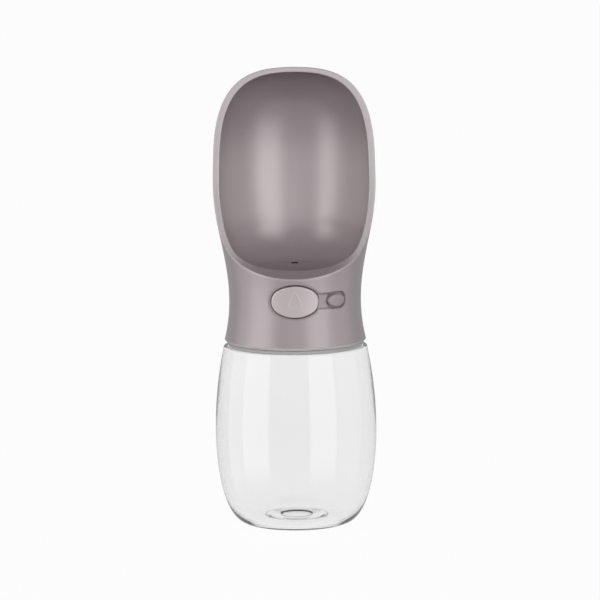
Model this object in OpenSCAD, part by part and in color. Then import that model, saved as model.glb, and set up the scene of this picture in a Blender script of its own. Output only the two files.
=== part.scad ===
// Travel water bottle with a drinking scoop: a clear bottle that screws into a scoop-shaped head.
// A spring-return button in the head's waist opens the water way, and a small slider locks it.
// Millimetres, +Z up, front (the button) towards -Y, origin on the table under the middle.

/* [Bottle] */
// Widest radius of the bottle
bottle_r = 37.65; // [34:0.05:45]
// Height of the bottle's shoulder above the table
bottle_h = 83; // [69:0.5:100]
// Height of the bottle's widest ring
bottle_widest_z = 44; // [36:0.5:53]
// Radius of the bottle's shoulder
shoulder_r = 33.7; // [32:0.1:37]
// Outer radius of the ring that the bottle stands on
foot_r = 23; // [20:0.5:27]
// Thickness of the bottle's wall
bottle_wall = 1.8; // [1.5:0.1:2.2]
// Height of the neck above the shoulder
neck_h = 12; // [10:0.5:14.5]
// Thickness of the neck's wall
neck_wall = 2.6; // [2.1:0.1:3.1]

/* [Screw thread] */
// How far the head climbs in one turn
thread_lead = 6; // [5:0.5:7.2]
// Height of a thread ridge above the neck
thread_depth = 1.2; // [1:0.05:1.45]
// Length of each thread ridge, in degrees
thread_sweep = 320; // [266:2:340]

/* [Head] */
// Radius of the head's waist, where the button is
waist_r = 30.7; // [29:0.1:37]
// Widest radius of the scoop
head_r = 38.4; // [36:0.1:46]
// Height from the waist to the widest ring of the scoop
scoop_rise = 58; // [48:1:70]
// Height from the widest ring to the top of the scoop
crown_h = 49.9; // [41.5:0.1:60]
// How square the crown is: 2 is an ellipse
crown_power = 3; // [2.5:0.1:3.6]
// How much wider the collar is than the waist
collar_flare = 2.6; // [2.1:0.1:3.2]
// Thickness of the scoop's wall
scoop_wall = 3; // [2.5:0.1:3.6]
// Thickness of the scoop's wall at its top edge
crown_wall = 2.4; // [2:0.1:3]
// Thickness of the wall at the waist
waist_wall = 2.5; // [2.1:0.1:3]
// How far the rim's upper edge lies behind the middle
rim_setback = 6.5; // [5:0.1:8]

/* [Button and lock] */
// Half the width of the oval button
button_half_w = 10.9; // [9:0.1:12.5]
// Half the height of the oval button
button_half_h = 7.3; // [6.1:0.1:8.8]
// How far the button is pressed
button_travel = 3.5; // [2.9:0.1:4.2]
// How far the lock knob slides, in degrees round the waist
lock_travel = 7; // [5.8:0.1:8.4]
// Half the width of the lock knob
knob_half_w = 4.7; // [3.9:0.1:5.6]
// Half the height of the lock knob
knob_half_h = 2.93; // [2.5:0.01:3.5]
// Gap between the button and the knob in its locked place
lock_gap = 0.8; // [0.7:0.05:1.5]

/* [Valve] */
// Radius of the push rod
rod_r = 1.5; // [1.25:0.05:1.8]
// Outer radius of the valve housing
housing_r = 6.6; // [6.2:0.1:7.2]
// Radius of the water way through the valve seat
seat_bore_r = 2.6; // [2.2:0.1:3.1]
// Width of the drain slot in the scoop's floor
drain_w = 3.4; // [2.8:0.1:4.1]
// Length of the drain slot in the scoop's floor
drain_l = 7; // [5.8:0.1:8.4]
// Wire diameter of the return spring
spring_wire = 0.6; // [0.5:0.05:0.7]
// Number of turns of the return spring
spring_turns = 6; // [5:1:7]

/* [Hidden] */
$fn = 96;

// Colours
shell_mauve = [0.66, 0.61, 0.62];
clear_grey = [0.85, 0.9, 0.93, 0.35];
silicone_grey = [0.66, 0.66, 0.67];
inner_white = [0.88, 0.88, 0.86];
steel_grey = [0.72, 0.73, 0.75];

// Clearances
screw_fit = 0.02;       // a press or bonded seat within one body
run_gap = 0.3;          // between pieces that move past each other
shaft_gap = 0.06;       // radial, round the push rod
thread_gap = 0.35;      // radial, between the two threads
seat_gap = 0.2;         // between stacked seals and what they press on
touch = 0.05;           // between pieces that sit face to face
screw_hole_gap = 0.15;  // radial, round a screw in a plain hole
cut_over = 1;           // how far a cut runs past the face it opens

// Neck and thread, from the waist inwards
skirt_wall = 1.95;      // at the waist, behind the thread
skirt_bore_r = waist_r - skirt_wall;
thread_crest_r = skirt_bore_r - thread_gap;
neck_r = thread_crest_r - thread_depth;
neck_bore_r = neck_r - neck_wall;
cavity_r = waist_r - waist_wall;
thread_starts = 2;
thread_pitch = thread_lead / thread_starts;
ridge_root_w = 0.52 * thread_pitch;
ridge_crest_w = 0.24 * thread_pitch;
ridge_sink = 0.4;       // how deep a ridge's root lies in its wall
ridge_step = 10;        // degrees between a ridge's sections
ridge_taper = 30;       // degrees over which a ridge's end fades
ridge_start = 3.2;      // height of the neck's first ridge above the shoulder

// Heights, from the shoulder up
band_h = 2.4;
band_r = waist_r + collar_flare - 2.1;  // stands back under the collar
collar_z = bottle_h + band_h;
neck_top_z = bottle_h + neck_h;
gasket_t = 1.6;
gasket_z = neck_top_z + seat_gap;
deck_z = gasket_z + gasket_t + seat_gap;
deck_t = 2;
deck_top_z = deck_z + deck_t;
flange_grow = 1.2;      // how far the button's flange stands out round it
flange_room = 0.9;      // over the flange
button_z = deck_top_z + run_gap + flange_grow + button_half_h;
waist_z = button_z - 2.8;
ceiling_z = button_z + button_half_h + flange_grow + flange_room;
bowl_floor_t = 3.5;
bowl_floor_z = ceiling_z + bowl_floor_t;
lip_z = ceiling_z + 1;
widest_z = waist_z + scoop_rise;
top_z = widest_z + crown_h;
collar_chamfer = 1.2;

// Radius of the head's outside at height z
function head_radius(z) =
    z < waist_z
        ? waist_r + collar_flare * pow((waist_z - z) / (waist_z - collar_z), 2)
        : waist_r + (head_r - waist_r) * (1 - cos(180 * min(1, (z - waist_z) / scoop_rise))) / 2;

// Points of a superellipse quarter, from its widest ring to just short of its top
function crown(r, h, steps) = [
    for (i = [1 : steps - 1])
        let (t = 90 * i / steps)
            [r * pow(cos(t), 2 / crown_power), widest_z + h * pow(sin(t), 2 / crown_power)]
];

// A point on a cubic curve with four control points
function bezier(p, t) =
    pow(1 - t, 3) * p[0] + 3 * t * pow(1 - t, 2) * p[1] + 3 * t * t * (1 - t) * p[2] + pow(t, 3) * p[3];
function bezier_points(p, steps) = [for (i = [0 : steps]) bezier(p, i / steps)];

// The head's outside, as [radius, height] from the collar up to the crown
head_side = concat(
    [[head_radius(collar_z + collar_chamfer) - collar_chamfer, collar_z]],
    [for (i = [0 : 4]) let (z = collar_z + collar_chamfer
        + (waist_z - collar_z - collar_chamfer) * i / 4) [head_radius(z), z]],
    [for (i = [1 : 14]) let (z = waist_z + scoop_rise * i / 14) [head_radius(z), z]],
    crown(head_r, crown_h, 14),
    [[0, top_z]]
);

// Control points of the rim seen from the side, as [y, z]: forward lip, sweep, then almost upright
lip_y = -head_radius(lip_z);
rim_sweep = [
    [lip_y, lip_z],
    [lip_y + 17.6, lip_z + 9.3],
    [rim_setback - 3.5, lip_z + 16.8],
    [rim_setback, widest_z + 7]
];
rim_top_y = rim_setback + 2.6;  // the rim leans back a little over the crown
open_front = 60;        // how far the cut for the open side reaches forward

// Valve layout along Y, from the rear of the cavity forward
rod_z = button_z;
rear_y = cavity_r - 2;
rear_wall = 1.7;
chamber_end_y = rear_y - rear_wall;
rear_chamber_l = 7.9;
rear_chamber_r = housing_r - 1.6;
seat_y = chamber_end_y - rear_chamber_l;
seat_t = 1.6;
inlet_y = chamber_end_y - 4.5;
inlet_bore_r = 2.6;
inlet_r = 4;
front_chamber_l = 16;
front_chamber_y = seat_y - seat_t - front_chamber_l;
front_chamber_r = housing_r - 2;
inner_wall_t = 2;
gland_l = 5;
gland_y = front_chamber_y - inner_wall_t - gland_l;
gland_bore_r = 4;
gland_ring_l = 2.5;
drain_y = seat_y - seat_t - 3.1;
riser_r = drain_l / 2 + 0.2;
riser_bore_r = 2.4;
riser_top_z = ceiling_z - 1;
sleeve_t = 1.4;
spigot_l = 4;
spigot_bottom_z = deck_z - spigot_l;
seal_w = 1.3;
seal_h = 1.2;
plug_r = 3.8;
plug_face_t = 1.4;
plug_t = 2.2;
plug_y = seat_y + touch;
clip_groove = 0.4;      // depth of the clip's groove in the rod
clip_mouth = 1.8;
clip_t = 0.6;
clip_y = plug_y + plug_t + touch;
rod_end_y = clip_y + clip_t + 0.5;
foot_plate_t = 2;
housing_foot_half_w = 13.2;
foot_l = 8;             // of both foot plates, along Y
keel_half_w = 4;        // the keel carries the housing on the deck
keel_y = gland_y + gland_ring_l;

// Button and its carrier
button_proud = 0.5;
button_end_r = 6;
flange_y = -sqrt(pow(cavity_r, 2) - pow(button_half_w + flange_grow, 2)) + run_gap;
flange_t = 1.2;
button_skin = 1.6;
button_front_t = 2.2;
button_front_y = -head_radius(button_z) - button_proud;
pocket_y = button_front_y + button_front_t;
button_back_y = flange_y + flange_t;
carrier_y = button_back_y + button_travel + run_gap;
carrier_t = 1.8;
carrier_half_w = button_half_w + flange_grow + 0.9;
carrier_foot_half_w = 12;
boss_r = 3;
boss_relief = 0.5;      // how far the boss stays behind the flange
socket_depth = 3;
rod_start_y = button_back_y - boss_relief - socket_depth;
spring_r = 4.2;

// Lock, on a track that follows the waist
knob_end_r = 2.3;
knob_proud = 0.9;
channel_depth = 1;
channel_half_h = knob_half_h + 0.37;
knob_half_angle = asin(knob_half_w / waist_r);
lock_angle = asin((button_half_w + lock_gap) / waist_r) + lock_travel + knob_half_angle;
channel_from = asin((button_half_w - 0.6) / waist_r);
channel_to = lock_angle + knob_half_angle + 2.8;
stem_half_angle = 2;
stem_half_h = 1.3;
stem_slot_angle = 0.5;  // play at each end of the stem's slot
plate_outer_r = cavity_r - run_gap;
plate_t = 1.2;
plate_inner_r = plate_outer_r - plate_t;
plate_half_h = 4.2;
plate_clear_x = button_half_w + flange_grow + 0.4;  // the locked plate stops here, beside the flange
plate_from = asin(plate_clear_x / plate_inner_r) + lock_travel;
plate_to = lock_angle + 12;
track_outer_r = plate_inner_r - run_gap;
track_t = 1.2;
track_from = plate_from - lock_travel + 3;
track_to = plate_to + 6;
track_arm_l = 3.4;
track_arm_t = 2.2;

// Screws
screw_circle_r = neck_bore_r - 4.1;
screw_angles = [35, 145, 215, 325];
post_r = 2.8;
big_screw_r = 1.25;
big_screw_l = 9;
big_head_r = 2.5;
big_head_t = 1.6;
small_screw_r = 0.95;
small_screw_l = 5;
small_head_r = 1.8;
small_head_t = 1.1;
carrier_screw_x = 8.5;
housing_screw_x = 10.2;
carrier_screw_xy = [for (side = [-1, 1]) [side * carrier_screw_x, carrier_y + 5]];
housing_screw_xy = [for (side = [-1, 1]) [side * housing_screw_x, foot_l / 2]];
small_screw_xy = concat(carrier_screw_xy, housing_screw_xy);
deck_boss_r = 2.4;
deck_boss_h = 4;
skirt_relief = 0.4;     // how far the wide bore ends below the deck
post_root = 0.5;        // how far a post runs into the ceiling

// Vent in the deck
vent_xy = [-10, 18];
vent_disc_r = 2.8;
vent_disc_t = 0.5;
vent_stem_r = 0.9;
vent_hole_r = 0.5;
vent_hole_ring = 1.8;

// A ring with a square section
module ring(outer, inner, low, height) {
    translate([0, 0, low]) difference() {
        cylinder(r = outer, h = height);
        translate([0, 0, -cut_over]) cylinder(r = inner, h = height + 2 * cut_over);
    }
}

// A cylinder along Y, from y0 to y1, at the height of the push rod
module along_y(r, y0, y1) {
    translate([0, y0, rod_z]) rotate([-90, 0, 0]) cylinder(r = r, h = y1 - y0);
}

// An oval of four arcs; grow offsets it evenly
module oval(half_w, half_h, end_r, grow = 0) {
    reach = half_w - end_r;
    flat_r = (reach * reach + half_h * half_h - end_r * end_r) / (2 * (half_h - end_r));
    drop = flat_r - half_h;
    tangent_x = reach * flat_r / (flat_r - end_r) + grow * reach / (flat_r - end_r);
    intersection() {
        translate([0, drop]) circle(r = flat_r + grow);
        translate([0, -drop]) circle(r = flat_r + grow);
        square([2 * tangent_x, 4 * half_h], center = true);
    }
    for (side = [-1, 1]) translate([side * reach, 0]) circle(r = end_r + grow);
}

// The button's oval as a bar along Y
module button_bar(grow, y0, y1) {
    translate([0, y1, button_z]) rotate([90, 0, 0])
        linear_extrude(height = y1 - y0) oval(button_half_w, button_half_h, button_end_r, grow);
}

// A block that follows the waist: radii, half height and angles from the front towards +X
module sector(inner, outer, half_h, from, to) {
    rotate([0, 0, from - 90]) translate([0, 0, button_z])
        rotate_extrude(angle = to - from)
            translate([inner, -half_h]) square([outer - inner, 2 * half_h]);
}

// One thread ridge: side +1 stands outwards from its wall, -1 inwards
module ridge(wall_r, crest_r, side, low, phase) {
    steps = thread_sweep / ridge_step;
    root = wall_r - side * ridge_sink;
    sections = [
        for (i = [0 : steps])
            let (a = i * ridge_step)
            let (fade = min(1, (a + 2) / ridge_taper, (thread_sweep - a + 2) / ridge_taper))
            let (crest = root + (crest_r - root) * fade, z = low + thread_lead * a / 360)
            for (p = [[root, -ridge_root_w / 2], [crest, -ridge_crest_w / 2],
                      [crest, ridge_crest_w / 2], [root, ridge_root_w / 2]])
                [p[0] * cos(a + phase), p[0] * sin(a + phase), z + p[1]]
    ];
    walls = [
        for (i = [0 : steps - 1], k = [0 : 3])
            let (a = 4 * i + k, b = 4 * i + (k + 1) % 4)
                each [[a, a + 4, b + 4], [a, b + 4, b]]
    ];
    last = 4 * steps;
    ends = [[0, 1, 2], [0, 2, 3], [last, last + 2, last + 1], [last, last + 3, last + 2]];
    faces = concat(walls, ends);
    polyhedron(sections, side < 0 ? faces : [for (f = faces) [f[0], f[2], f[1]]]);
}

module ridges(wall_r, crest_r, side, low) {
    for (start = [0 : thread_starts - 1])
        ridge(wall_r, crest_r, side, low, 360 * start / thread_starts);
}

// ---- Bottle ----

// Radius of the bottle's side above its widest ring
function bottle_radius(z) =
    bottle_r - (bottle_r - shoulder_r) * pow((z - bottle_widest_z) / (bottle_h - 1 - bottle_widest_z), 2);

// Base and lower side as one curve, drawn in by a wall's thickness
function bottle_base(wall) = bezier_points([
    [foot_r - 0.5 * wall, 1.4 * wall],
    [foot_r + 10 - wall, 1.4 * wall],
    [bottle_r - wall, bottle_widest_z / 2],
    [bottle_r - wall, bottle_widest_z]
], 12);
function bottle_side(wall) = [
    for (i = [1 : 8])
        let (z = bottle_widest_z + (bottle_h - 1 - wall - bottle_widest_z) * i / 8)
            [bottle_radius(z) - wall, z]
];
function backwards(list) = [for (i = [len(list) - 1 : -1 : 0]) list[i]];
foot_w = 2.5;
push_up_r = foot_r - foot_w;
push_up_h = 1.6;
centre_ring_r = 7.6;
dish_r = 15;
centre_rise = 0.8;
neck_chamfer = 0.5;
shoulder_round = 0.9;

module bottle_shell() {
    outside = concat(bottle_base(0), bottle_side(0),
        [[shoulder_r - shoulder_round, bottle_h], [neck_r, bottle_h], [neck_r, neck_top_z - neck_chamfer],
         [neck_r - neck_chamfer, neck_top_z], [neck_bore_r, neck_top_z]]);
    inside = concat([[neck_bore_r, bottle_h - 0.4]], backwards(bottle_side(bottle_wall)),
        backwards(bottle_base(bottle_wall)));
    floor_z = push_up_h + bottle_wall;
    floor_top = [[dish_r, floor_z], [centre_ring_r, floor_z],
        [centre_ring_r - centre_rise, floor_z + centre_rise], [0, floor_z + centre_rise]];
    floor_under = [[0, push_up_h + centre_rise], [centre_ring_r - centre_rise, push_up_h + centre_rise],
        [centre_ring_r, push_up_h], [dish_r, push_up_h], [push_up_r, 0]];
    color(clear_grey) {
        rotate_extrude() polygon(concat(outside, inside, floor_top, floor_under));
        ridges(neck_r, thread_crest_r, 1, bottle_h + ridge_start);
    }
}

module shoulder_ring() {
    color(silicone_grey) ring(band_r, neck_r + screw_fit, bottle_h, band_h - seat_gap);
}

module mouth_gasket() {
    color(silicone_grey) ring(neck_r - 0.2, neck_bore_r + 0.3, gasket_z, gasket_t);
}

// ---- Head ----

// Corner radius between the scoop's floor and its wall: tight at the lip, wide at the back
fillet_mid = 13.5;
fillet_swing = 6.5;
floor_tilt = 0.018;     // fall of the scoop's floor from the lip to the drain
tilt_reach = 25;        // height over which that fall dies out
bowl_sides = 48;
bowl_arc_steps = 6;
bowl_wall_steps = 8;
bowl_crown_steps = 9;

function bowl_profile(angle) =
    let (f = fillet_mid + fillet_swing * sin(angle))
    let (corner_z = bowl_floor_z + f, corner_r = head_radius(corner_z) - scoop_wall - f)
        concat(
            [for (i = [0 : bowl_arc_steps]) let (t = 90 * i / bowl_arc_steps)
                [corner_r + f * sin(t), corner_z - f * cos(t)]],
            [for (i = [1 : bowl_wall_steps]) let (z = corner_z + (widest_z - corner_z) * i / bowl_wall_steps)
                [head_radius(z) - scoop_wall, z]],
            crown(head_r - scoop_wall, crown_h - crown_wall, bowl_crown_steps)
        );
function tilted(p) =
    [p[0], p[1], p[2] + floor_tilt * (drain_y - p[1]) * max(0, 1 - (p[2] - bowl_floor_z) / tilt_reach)];

module bowl_space() {
    rings = bowl_arc_steps + bowl_wall_steps + bowl_crown_steps;
    around = [
        for (k = [0 : bowl_sides - 1])
            let (angle = 360 * k / bowl_sides)
            for (p = bowl_profile(angle)) tilted([p[0] * cos(angle), p[0] * sin(angle), p[1]])
    ];
    bottom = len(around);
    points = concat(around, [tilted([0, 0, bowl_floor_z]), [0, 0, top_z - crown_wall]]);
    skin = [
        for (k = [0 : bowl_sides - 1])
            let (a = k * rings, b = ((k + 1) % bowl_sides) * rings)
            for (i = [0 : rings - 2])
                each [[a + i, a + i + 1, b + i + 1], [a + i, b + i + 1, b + i]]
    ];
    caps = [
        for (k = [0 : bowl_sides - 1])
            let (a = k * rings, b = ((k + 1) % bowl_sides) * rings)
                each [[bottom, a, b], [bottom + 1, b + rings - 1, a + rings - 1]]
    ];
    polyhedron(points, concat(skin, caps));
}

// Everything in front of the rim
module open_side() {
    outline = concat(
        [[-open_front, lip_z]],
        bezier_points(rim_sweep, 14),
        [[rim_top_y, top_z + cut_over], [-open_front, top_z + cut_over]]
    );
    translate([-open_front, 0, 0]) rotate([90, 0, 90])
        linear_extrude(height = 2 * open_front) polygon(outline);
}

module drain_slot(low, high) {
    reach = (drain_l - drain_w) / 2;
    translate([0, drain_y, low]) linear_extrude(height = high - low) {
        square([drain_w, 2 * reach], center = true);
        for (side = [-1, 1]) translate([0, side * reach]) circle(r = drain_w / 2);
    }
}

module at_posts() {
    for (a = screw_angles) rotate([0, 0, a]) translate([screw_circle_r, 0, 0]) children();
}

module head_shell() {
    color(shell_mauve) {
        difference() {
            rotate_extrude() polygon(concat([[0, collar_z]], head_side));
            open_side();
            bowl_space();
            translate([0, 0, collar_z - cut_over])
                cylinder(r = skirt_bore_r, h = deck_z - skirt_relief - collar_z + cut_over);
            translate([0, 0, collar_z]) cylinder(r = cavity_r, h = ceiling_z - collar_z);
            button_bar(run_gap, -head_r, -cavity_r / 2);
            sector(waist_r - channel_depth, head_r, channel_half_h, channel_from, channel_to);
            sector(cavity_r - cut_over, waist_r, stem_half_h + run_gap,
                lock_angle - lock_travel - stem_half_angle - stem_slot_angle,
                lock_angle + stem_half_angle + stem_slot_angle);
            drain_slot(ceiling_z - cut_over, bowl_floor_z + 3);
        }
        at_posts() difference() {
            translate([0, 0, deck_top_z]) cylinder(r = post_r, h = ceiling_z - deck_top_z + post_root);
            translate([0, 0, deck_top_z - cut_over])
                cylinder(r = big_screw_r + screw_fit, h = big_screw_l + cut_over);
        }
        ridges(skirt_bore_r, neck_r + thread_gap, -1, bottle_h + ridge_start + thread_pitch / 2);
    }
}

module valve_deck() {
    color(inner_white) difference() {
        union() {
            translate([0, 0, deck_z]) cylinder(r = neck_r + 0.2, h = deck_t);
            for (p = small_screw_xy) translate([p[0], p[1], deck_z - deck_boss_h])
                cylinder(r = deck_boss_r, h = deck_boss_h + deck_t / 2);
        }
        at_posts() translate([0, 0, deck_z - cut_over])
            cylinder(r = big_screw_r + screw_hole_gap, h = deck_t + 2 * cut_over);
        for (p = small_screw_xy) translate([p[0], p[1], deck_top_z - small_screw_l])
            cylinder(r = small_screw_r + screw_fit, h = small_screw_l + cut_over);
        translate([0, inlet_y, deck_z - cut_over])
            cylinder(r = inlet_r + 2 * touch, h = deck_t + 2 * cut_over);
        translate([0, inlet_y, deck_top_z - seal_h]) cylinder(r = inlet_r + seal_w, h = seal_h + cut_over);
        translate([vent_xy[0], vent_xy[1], deck_z - cut_over]) {
            cylinder(r = vent_stem_r + screw_fit, h = deck_t + 2 * cut_over);
            for (a = [0 : 120 : 240]) rotate([0, 0, a]) translate([vent_hole_ring, 0, 0])
                cylinder(r = vent_hole_r, h = deck_t + 2 * cut_over);
        }
    }
}

// A pan-head screw standing head down at the origin, with a cross recess in its head
module screw(shank_r, shank_l, head_r, head_t) {
    difference() {
        union() {
            cylinder(r = shank_r, h = shank_l);
            translate([0, 0, -head_t]) cylinder(r = head_r, h = head_t);
        }
        for (turn = [0, 90]) rotate([0, 0, turn])
            translate([-0.6 * head_r, -0.14 * head_r, -head_t - cut_over])
                cube([1.2 * head_r, 0.28 * head_r, cut_over + 0.5 * head_t]);
    }
}

module deck_screws() {
    color(steel_grey) at_posts() translate([0, 0, deck_z])
        screw(big_screw_r, big_screw_l, big_head_r, big_head_t);
}

module carrier_screws() {
    color(steel_grey) for (p = small_screw_xy)
        translate([p[0], p[1], deck_top_z + foot_plate_t]) mirror([0, 0, 1])
            screw(small_screw_r, small_screw_l, small_head_r, small_head_t);
}

// ---- Valve ----

module valve_housing() {
    color(inner_white) difference() {
        union() {
            along_y(housing_r, gland_y, chamber_end_y);
            translate([-keel_half_w, keel_y, deck_top_z])
                cube([2 * keel_half_w, chamber_end_y - keel_y, rod_z - housing_r / 2 - deck_top_z]);
            translate([-housing_foot_half_w, 0, deck_top_z])
                cube([2 * housing_foot_half_w, foot_l, foot_plate_t]);
            translate([0, drain_y, rod_z]) cylinder(r = riser_r, h = riser_top_z - rod_z);
            translate([0, inlet_y, spigot_bottom_z]) cylinder(r = inlet_r, h = rod_z - spigot_bottom_z);
        }
        along_y(gland_bore_r, gland_y - cut_over, front_chamber_y - inner_wall_t);
        along_y(rod_r + 0.5, gland_y, front_chamber_y + cut_over);
        along_y(front_chamber_r, front_chamber_y, seat_y - seat_t);
        along_y(seat_bore_r, seat_y - seat_t - cut_over, seat_y + cut_over);
        along_y(rear_chamber_r, seat_y, chamber_end_y + cut_over);
        translate([0, drain_y, rod_z]) cylinder(r = riser_bore_r, h = riser_top_z - rod_z + cut_over);
        translate([0, inlet_y, spigot_bottom_z - cut_over])
            cylinder(r = inlet_bore_r, h = rod_z - spigot_bottom_z + cut_over);
        for (p = housing_screw_xy) translate([p[0], p[1], deck_top_z - cut_over])
            cylinder(r = small_screw_r + screw_hole_gap, h = foot_plate_t + 2 * cut_over);
    }
}

module inlet_seal() {
    color(silicone_grey) translate([0, inlet_y, 0])
        ring(inlet_r + seal_w - screw_fit, inlet_r + screw_fit, deck_top_z - seal_h, seal_h);
}

module rod_seal() {
    color(silicone_grey) difference() {
        along_y(gland_bore_r - screw_fit, gland_y + gland_ring_l + 2 * touch, gland_y + gland_l);
        along_y(rod_r + shaft_gap, gland_y, gland_y + gland_l + cut_over);
    }
}

module gland_ring() {
    color(inner_white) difference() {
        along_y(gland_bore_r - screw_fit, gland_y, gland_y + gland_ring_l);
        along_y(rod_r + run_gap, gland_y - cut_over, gland_y + gland_ring_l + cut_over);
    }
}

module rear_cap() {
    color(inner_white) {
        along_y(housing_r, chamber_end_y, rear_y);
        difference() {
            along_y(rear_chamber_r - screw_fit, chamber_end_y - 1, chamber_end_y + 0.1);
            along_y(rear_chamber_r - 1, chamber_end_y - 1 - cut_over, chamber_end_y - 0.2);
        }
    }
}

module outlet_sleeve() {
    color(silicone_grey) translate([0, drain_y, 0])
        ring(riser_r + sleeve_t, riser_r + screw_fit, rod_z + housing_r + seat_gap,
            ceiling_z - touch - rod_z - housing_r - seat_gap);
}

module vent_valve() {
    color(silicone_grey) translate([vent_xy[0], vent_xy[1], 0]) {
        translate([0, 0, deck_z - vent_disc_t]) cylinder(r = vent_disc_r, h = vent_disc_t);
        translate([0, 0, deck_z - 0.1]) cylinder(r = vent_stem_r, h = deck_t + 1.3);
        translate([0, 0, deck_top_z + touch]) cylinder(r = vent_stem_r + 0.4, h = 0.6);
    }
}

// ---- Button, push rod and return spring ----

module head_skin(grow) {
    rotate_extrude() polygon(concat(
        [[0, waist_z - 12]],
        [for (i = [0 : 8]) let (z = waist_z - 12 + 3 * i) [head_radius(z) + grow, z]],
        [[0, waist_z + 12]]
    ));
}

module button() {
    boss_end_y = button_back_y - boss_relief;
    color(shell_mauve) difference() {
        union() {
            intersection() {
                button_bar(0, -head_r, flange_y + 0.1);
                head_skin(button_proud);
            }
            button_bar(flange_grow, flange_y, button_back_y);
        }
        difference() {
            button_bar(-button_skin, pocket_y, button_back_y + cut_over);
            along_y(boss_r, pocket_y - cut_over, button_back_y + 2 * cut_over);
        }
        along_y(boss_r + 1, boss_end_y, button_back_y + cut_over);
        along_y(rod_r + screw_fit, rod_start_y, button_back_y + cut_over);
    }
}

module push_rod() {
    color(steel_grey) difference() {
        along_y(rod_r, rod_start_y, rod_end_y);
        difference() {
            along_y(rod_r + 1, clip_y, clip_y + clip_t);
            along_y(rod_r - clip_groove, clip_y - cut_over, clip_y + clip_t + cut_over);
        }
    }
}

module valve_plug() {
    color(silicone_grey) difference() {
        union() {
            along_y(plug_r, plug_y, plug_y + plug_face_t);
            along_y(plug_r - 1.2, plug_y, plug_y + plug_t);
        }
        along_y(rod_r + screw_fit, plug_y - cut_over, plug_y + plug_t + cut_over);
    }
}

module plug_clip() {
    color(steel_grey) difference() {
        along_y(rod_r + 1, clip_y + screw_fit, clip_y + clip_t - screw_fit);
        along_y(rod_r - clip_groove + screw_fit, clip_y - cut_over, clip_y + clip_t + cut_over);
        translate([-clip_mouth / 2, clip_y - cut_over, rod_z])
            cube([clip_mouth, clip_t + 2 * cut_over, rod_r + 1 + cut_over]);
    }
}

// The return spring: one tube on a helix between the button and its carrier
spring_start_y = pocket_y + spring_wire / 2 + 0.1;
spring_end_y = carrier_y - spring_wire / 2 - 0.1;
spring_rings = 8 * spring_turns;
spring_sides = 6;
spring_pitch = (spring_end_y - spring_start_y) / spring_turns;
spring_centres = [
    for (i = [0 : spring_rings])
        let (a = 360 * spring_turns * i / spring_rings)
            [spring_r * cos(a), spring_start_y + (spring_end_y - spring_start_y) * i / spring_rings,
             rod_z + spring_r * sin(a)]
];
spring_gap = min([
    for (i = [0 : spring_rings - 6], k = [i + 6 : spring_rings])
        norm(spring_centres[i] - spring_centres[k])
]) - spring_wire;
echo(return_spring_least_gap_to_itself_mm = spring_gap);

module return_spring() {
    lead_angle = atan(spring_pitch / (2 * PI * spring_r));
    points = [
        for (i = [0 : spring_rings])
            let (a = 360 * spring_turns * i / spring_rings, c = spring_centres[i])
            let (out = [cos(a), 0, sin(a)])
            let (side = [sin(a) * sin(lead_angle), cos(lead_angle), -cos(a) * sin(lead_angle)])
            for (k = [0 : spring_sides - 1])
                let (b = 360 * k / spring_sides)
                    c + spring_wire / 2 * (cos(b) * out + sin(b) * side)
    ];
    skin = [
        for (i = [0 : spring_rings - 1], k = [0 : spring_sides - 1])
            let (a = spring_sides * i + k, b = spring_sides * i + (k + 1) % spring_sides)
                each [[a, a + spring_sides, b + spring_sides], [a, b + spring_sides, b]]
    ];
    last = spring_sides * spring_rings;
    ends = [
        for (k = [1 : spring_sides - 2])
            each [[0, k, k + 1], [last, last + k + 1, last + k]]
    ];
    color(steel_grey) polyhedron(points, concat(skin, ends));
}

module button_carrier() {
    color(inner_white) difference() {
        union() {
            translate([-carrier_half_w, carrier_y, deck_top_z])
                cube([2 * carrier_half_w, carrier_t, ceiling_z - deck_top_z - 2.2]);
            translate([-carrier_foot_half_w, carrier_y, deck_top_z])
                cube([2 * carrier_foot_half_w, foot_l, foot_plate_t]);
            sector(track_outer_r - track_t, track_outer_r, plate_half_h, track_from, track_to);
            intersection() {
                translate([carrier_half_w - 0.4, carrier_y - track_arm_t, button_z - plate_half_h])
                    cube([track_arm_l, track_arm_t + carrier_t, 2 * plate_half_h]);
                cylinder(r = track_outer_r, h = top_z);
            }
        }
        along_y(rod_r + shaft_gap, carrier_y - cut_over, carrier_y + carrier_t + cut_over);
        for (p = carrier_screw_xy) translate([p[0], p[1], deck_top_z - cut_over])
            cylinder(r = small_screw_r + screw_hole_gap, h = foot_plate_t + 2 * cut_over);
    }
}

// ---- Lock ----

module knob_stem(grow, from_r, to_r) {
    grow_angle = grow / waist_r * 180 / PI;
    sector(from_r, to_r, stem_half_h + grow, lock_angle - stem_half_angle - grow_angle,
        lock_angle + stem_half_angle + grow_angle);
}

module lock_knob() {
    color(shell_mauve) {
        intersection() {
            ring(head_radius(button_z) + knob_proud, waist_r - channel_depth + run_gap,
                button_z - knob_half_h - cut_over, 2 * (knob_half_h + cut_over));
            rotate([0, 0, lock_angle]) translate([0, 0, button_z]) rotate([90, 0, 0])
                linear_extrude(height = head_r) oval(knob_half_w, knob_half_h, knob_end_r);
        }
        knob_stem(0, plate_inner_r, waist_r - channel_depth + 2 * run_gap);
    }
}

module lock_plate() {
    color(inner_white) difference() {
        sector(plate_inner_r, plate_outer_r, plate_half_h, plate_from, plate_to);
        knob_stem(screw_fit, plate_inner_r - cut_over, plate_outer_r + cut_over);
    }
}

bottle_shell();
shoulder_ring();
mouth_gasket();
head_shell();
valve_deck();
deck_screws();
valve_housing();
inlet_seal();
rod_seal();
gland_ring();
rear_cap();
outlet_sleeve();
vent_valve();
button_carrier();
carrier_screws();
button();
push_rod();
valve_plug();
plug_clip();
return_spring();
lock_knob();
lock_plate();
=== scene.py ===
import math

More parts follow.
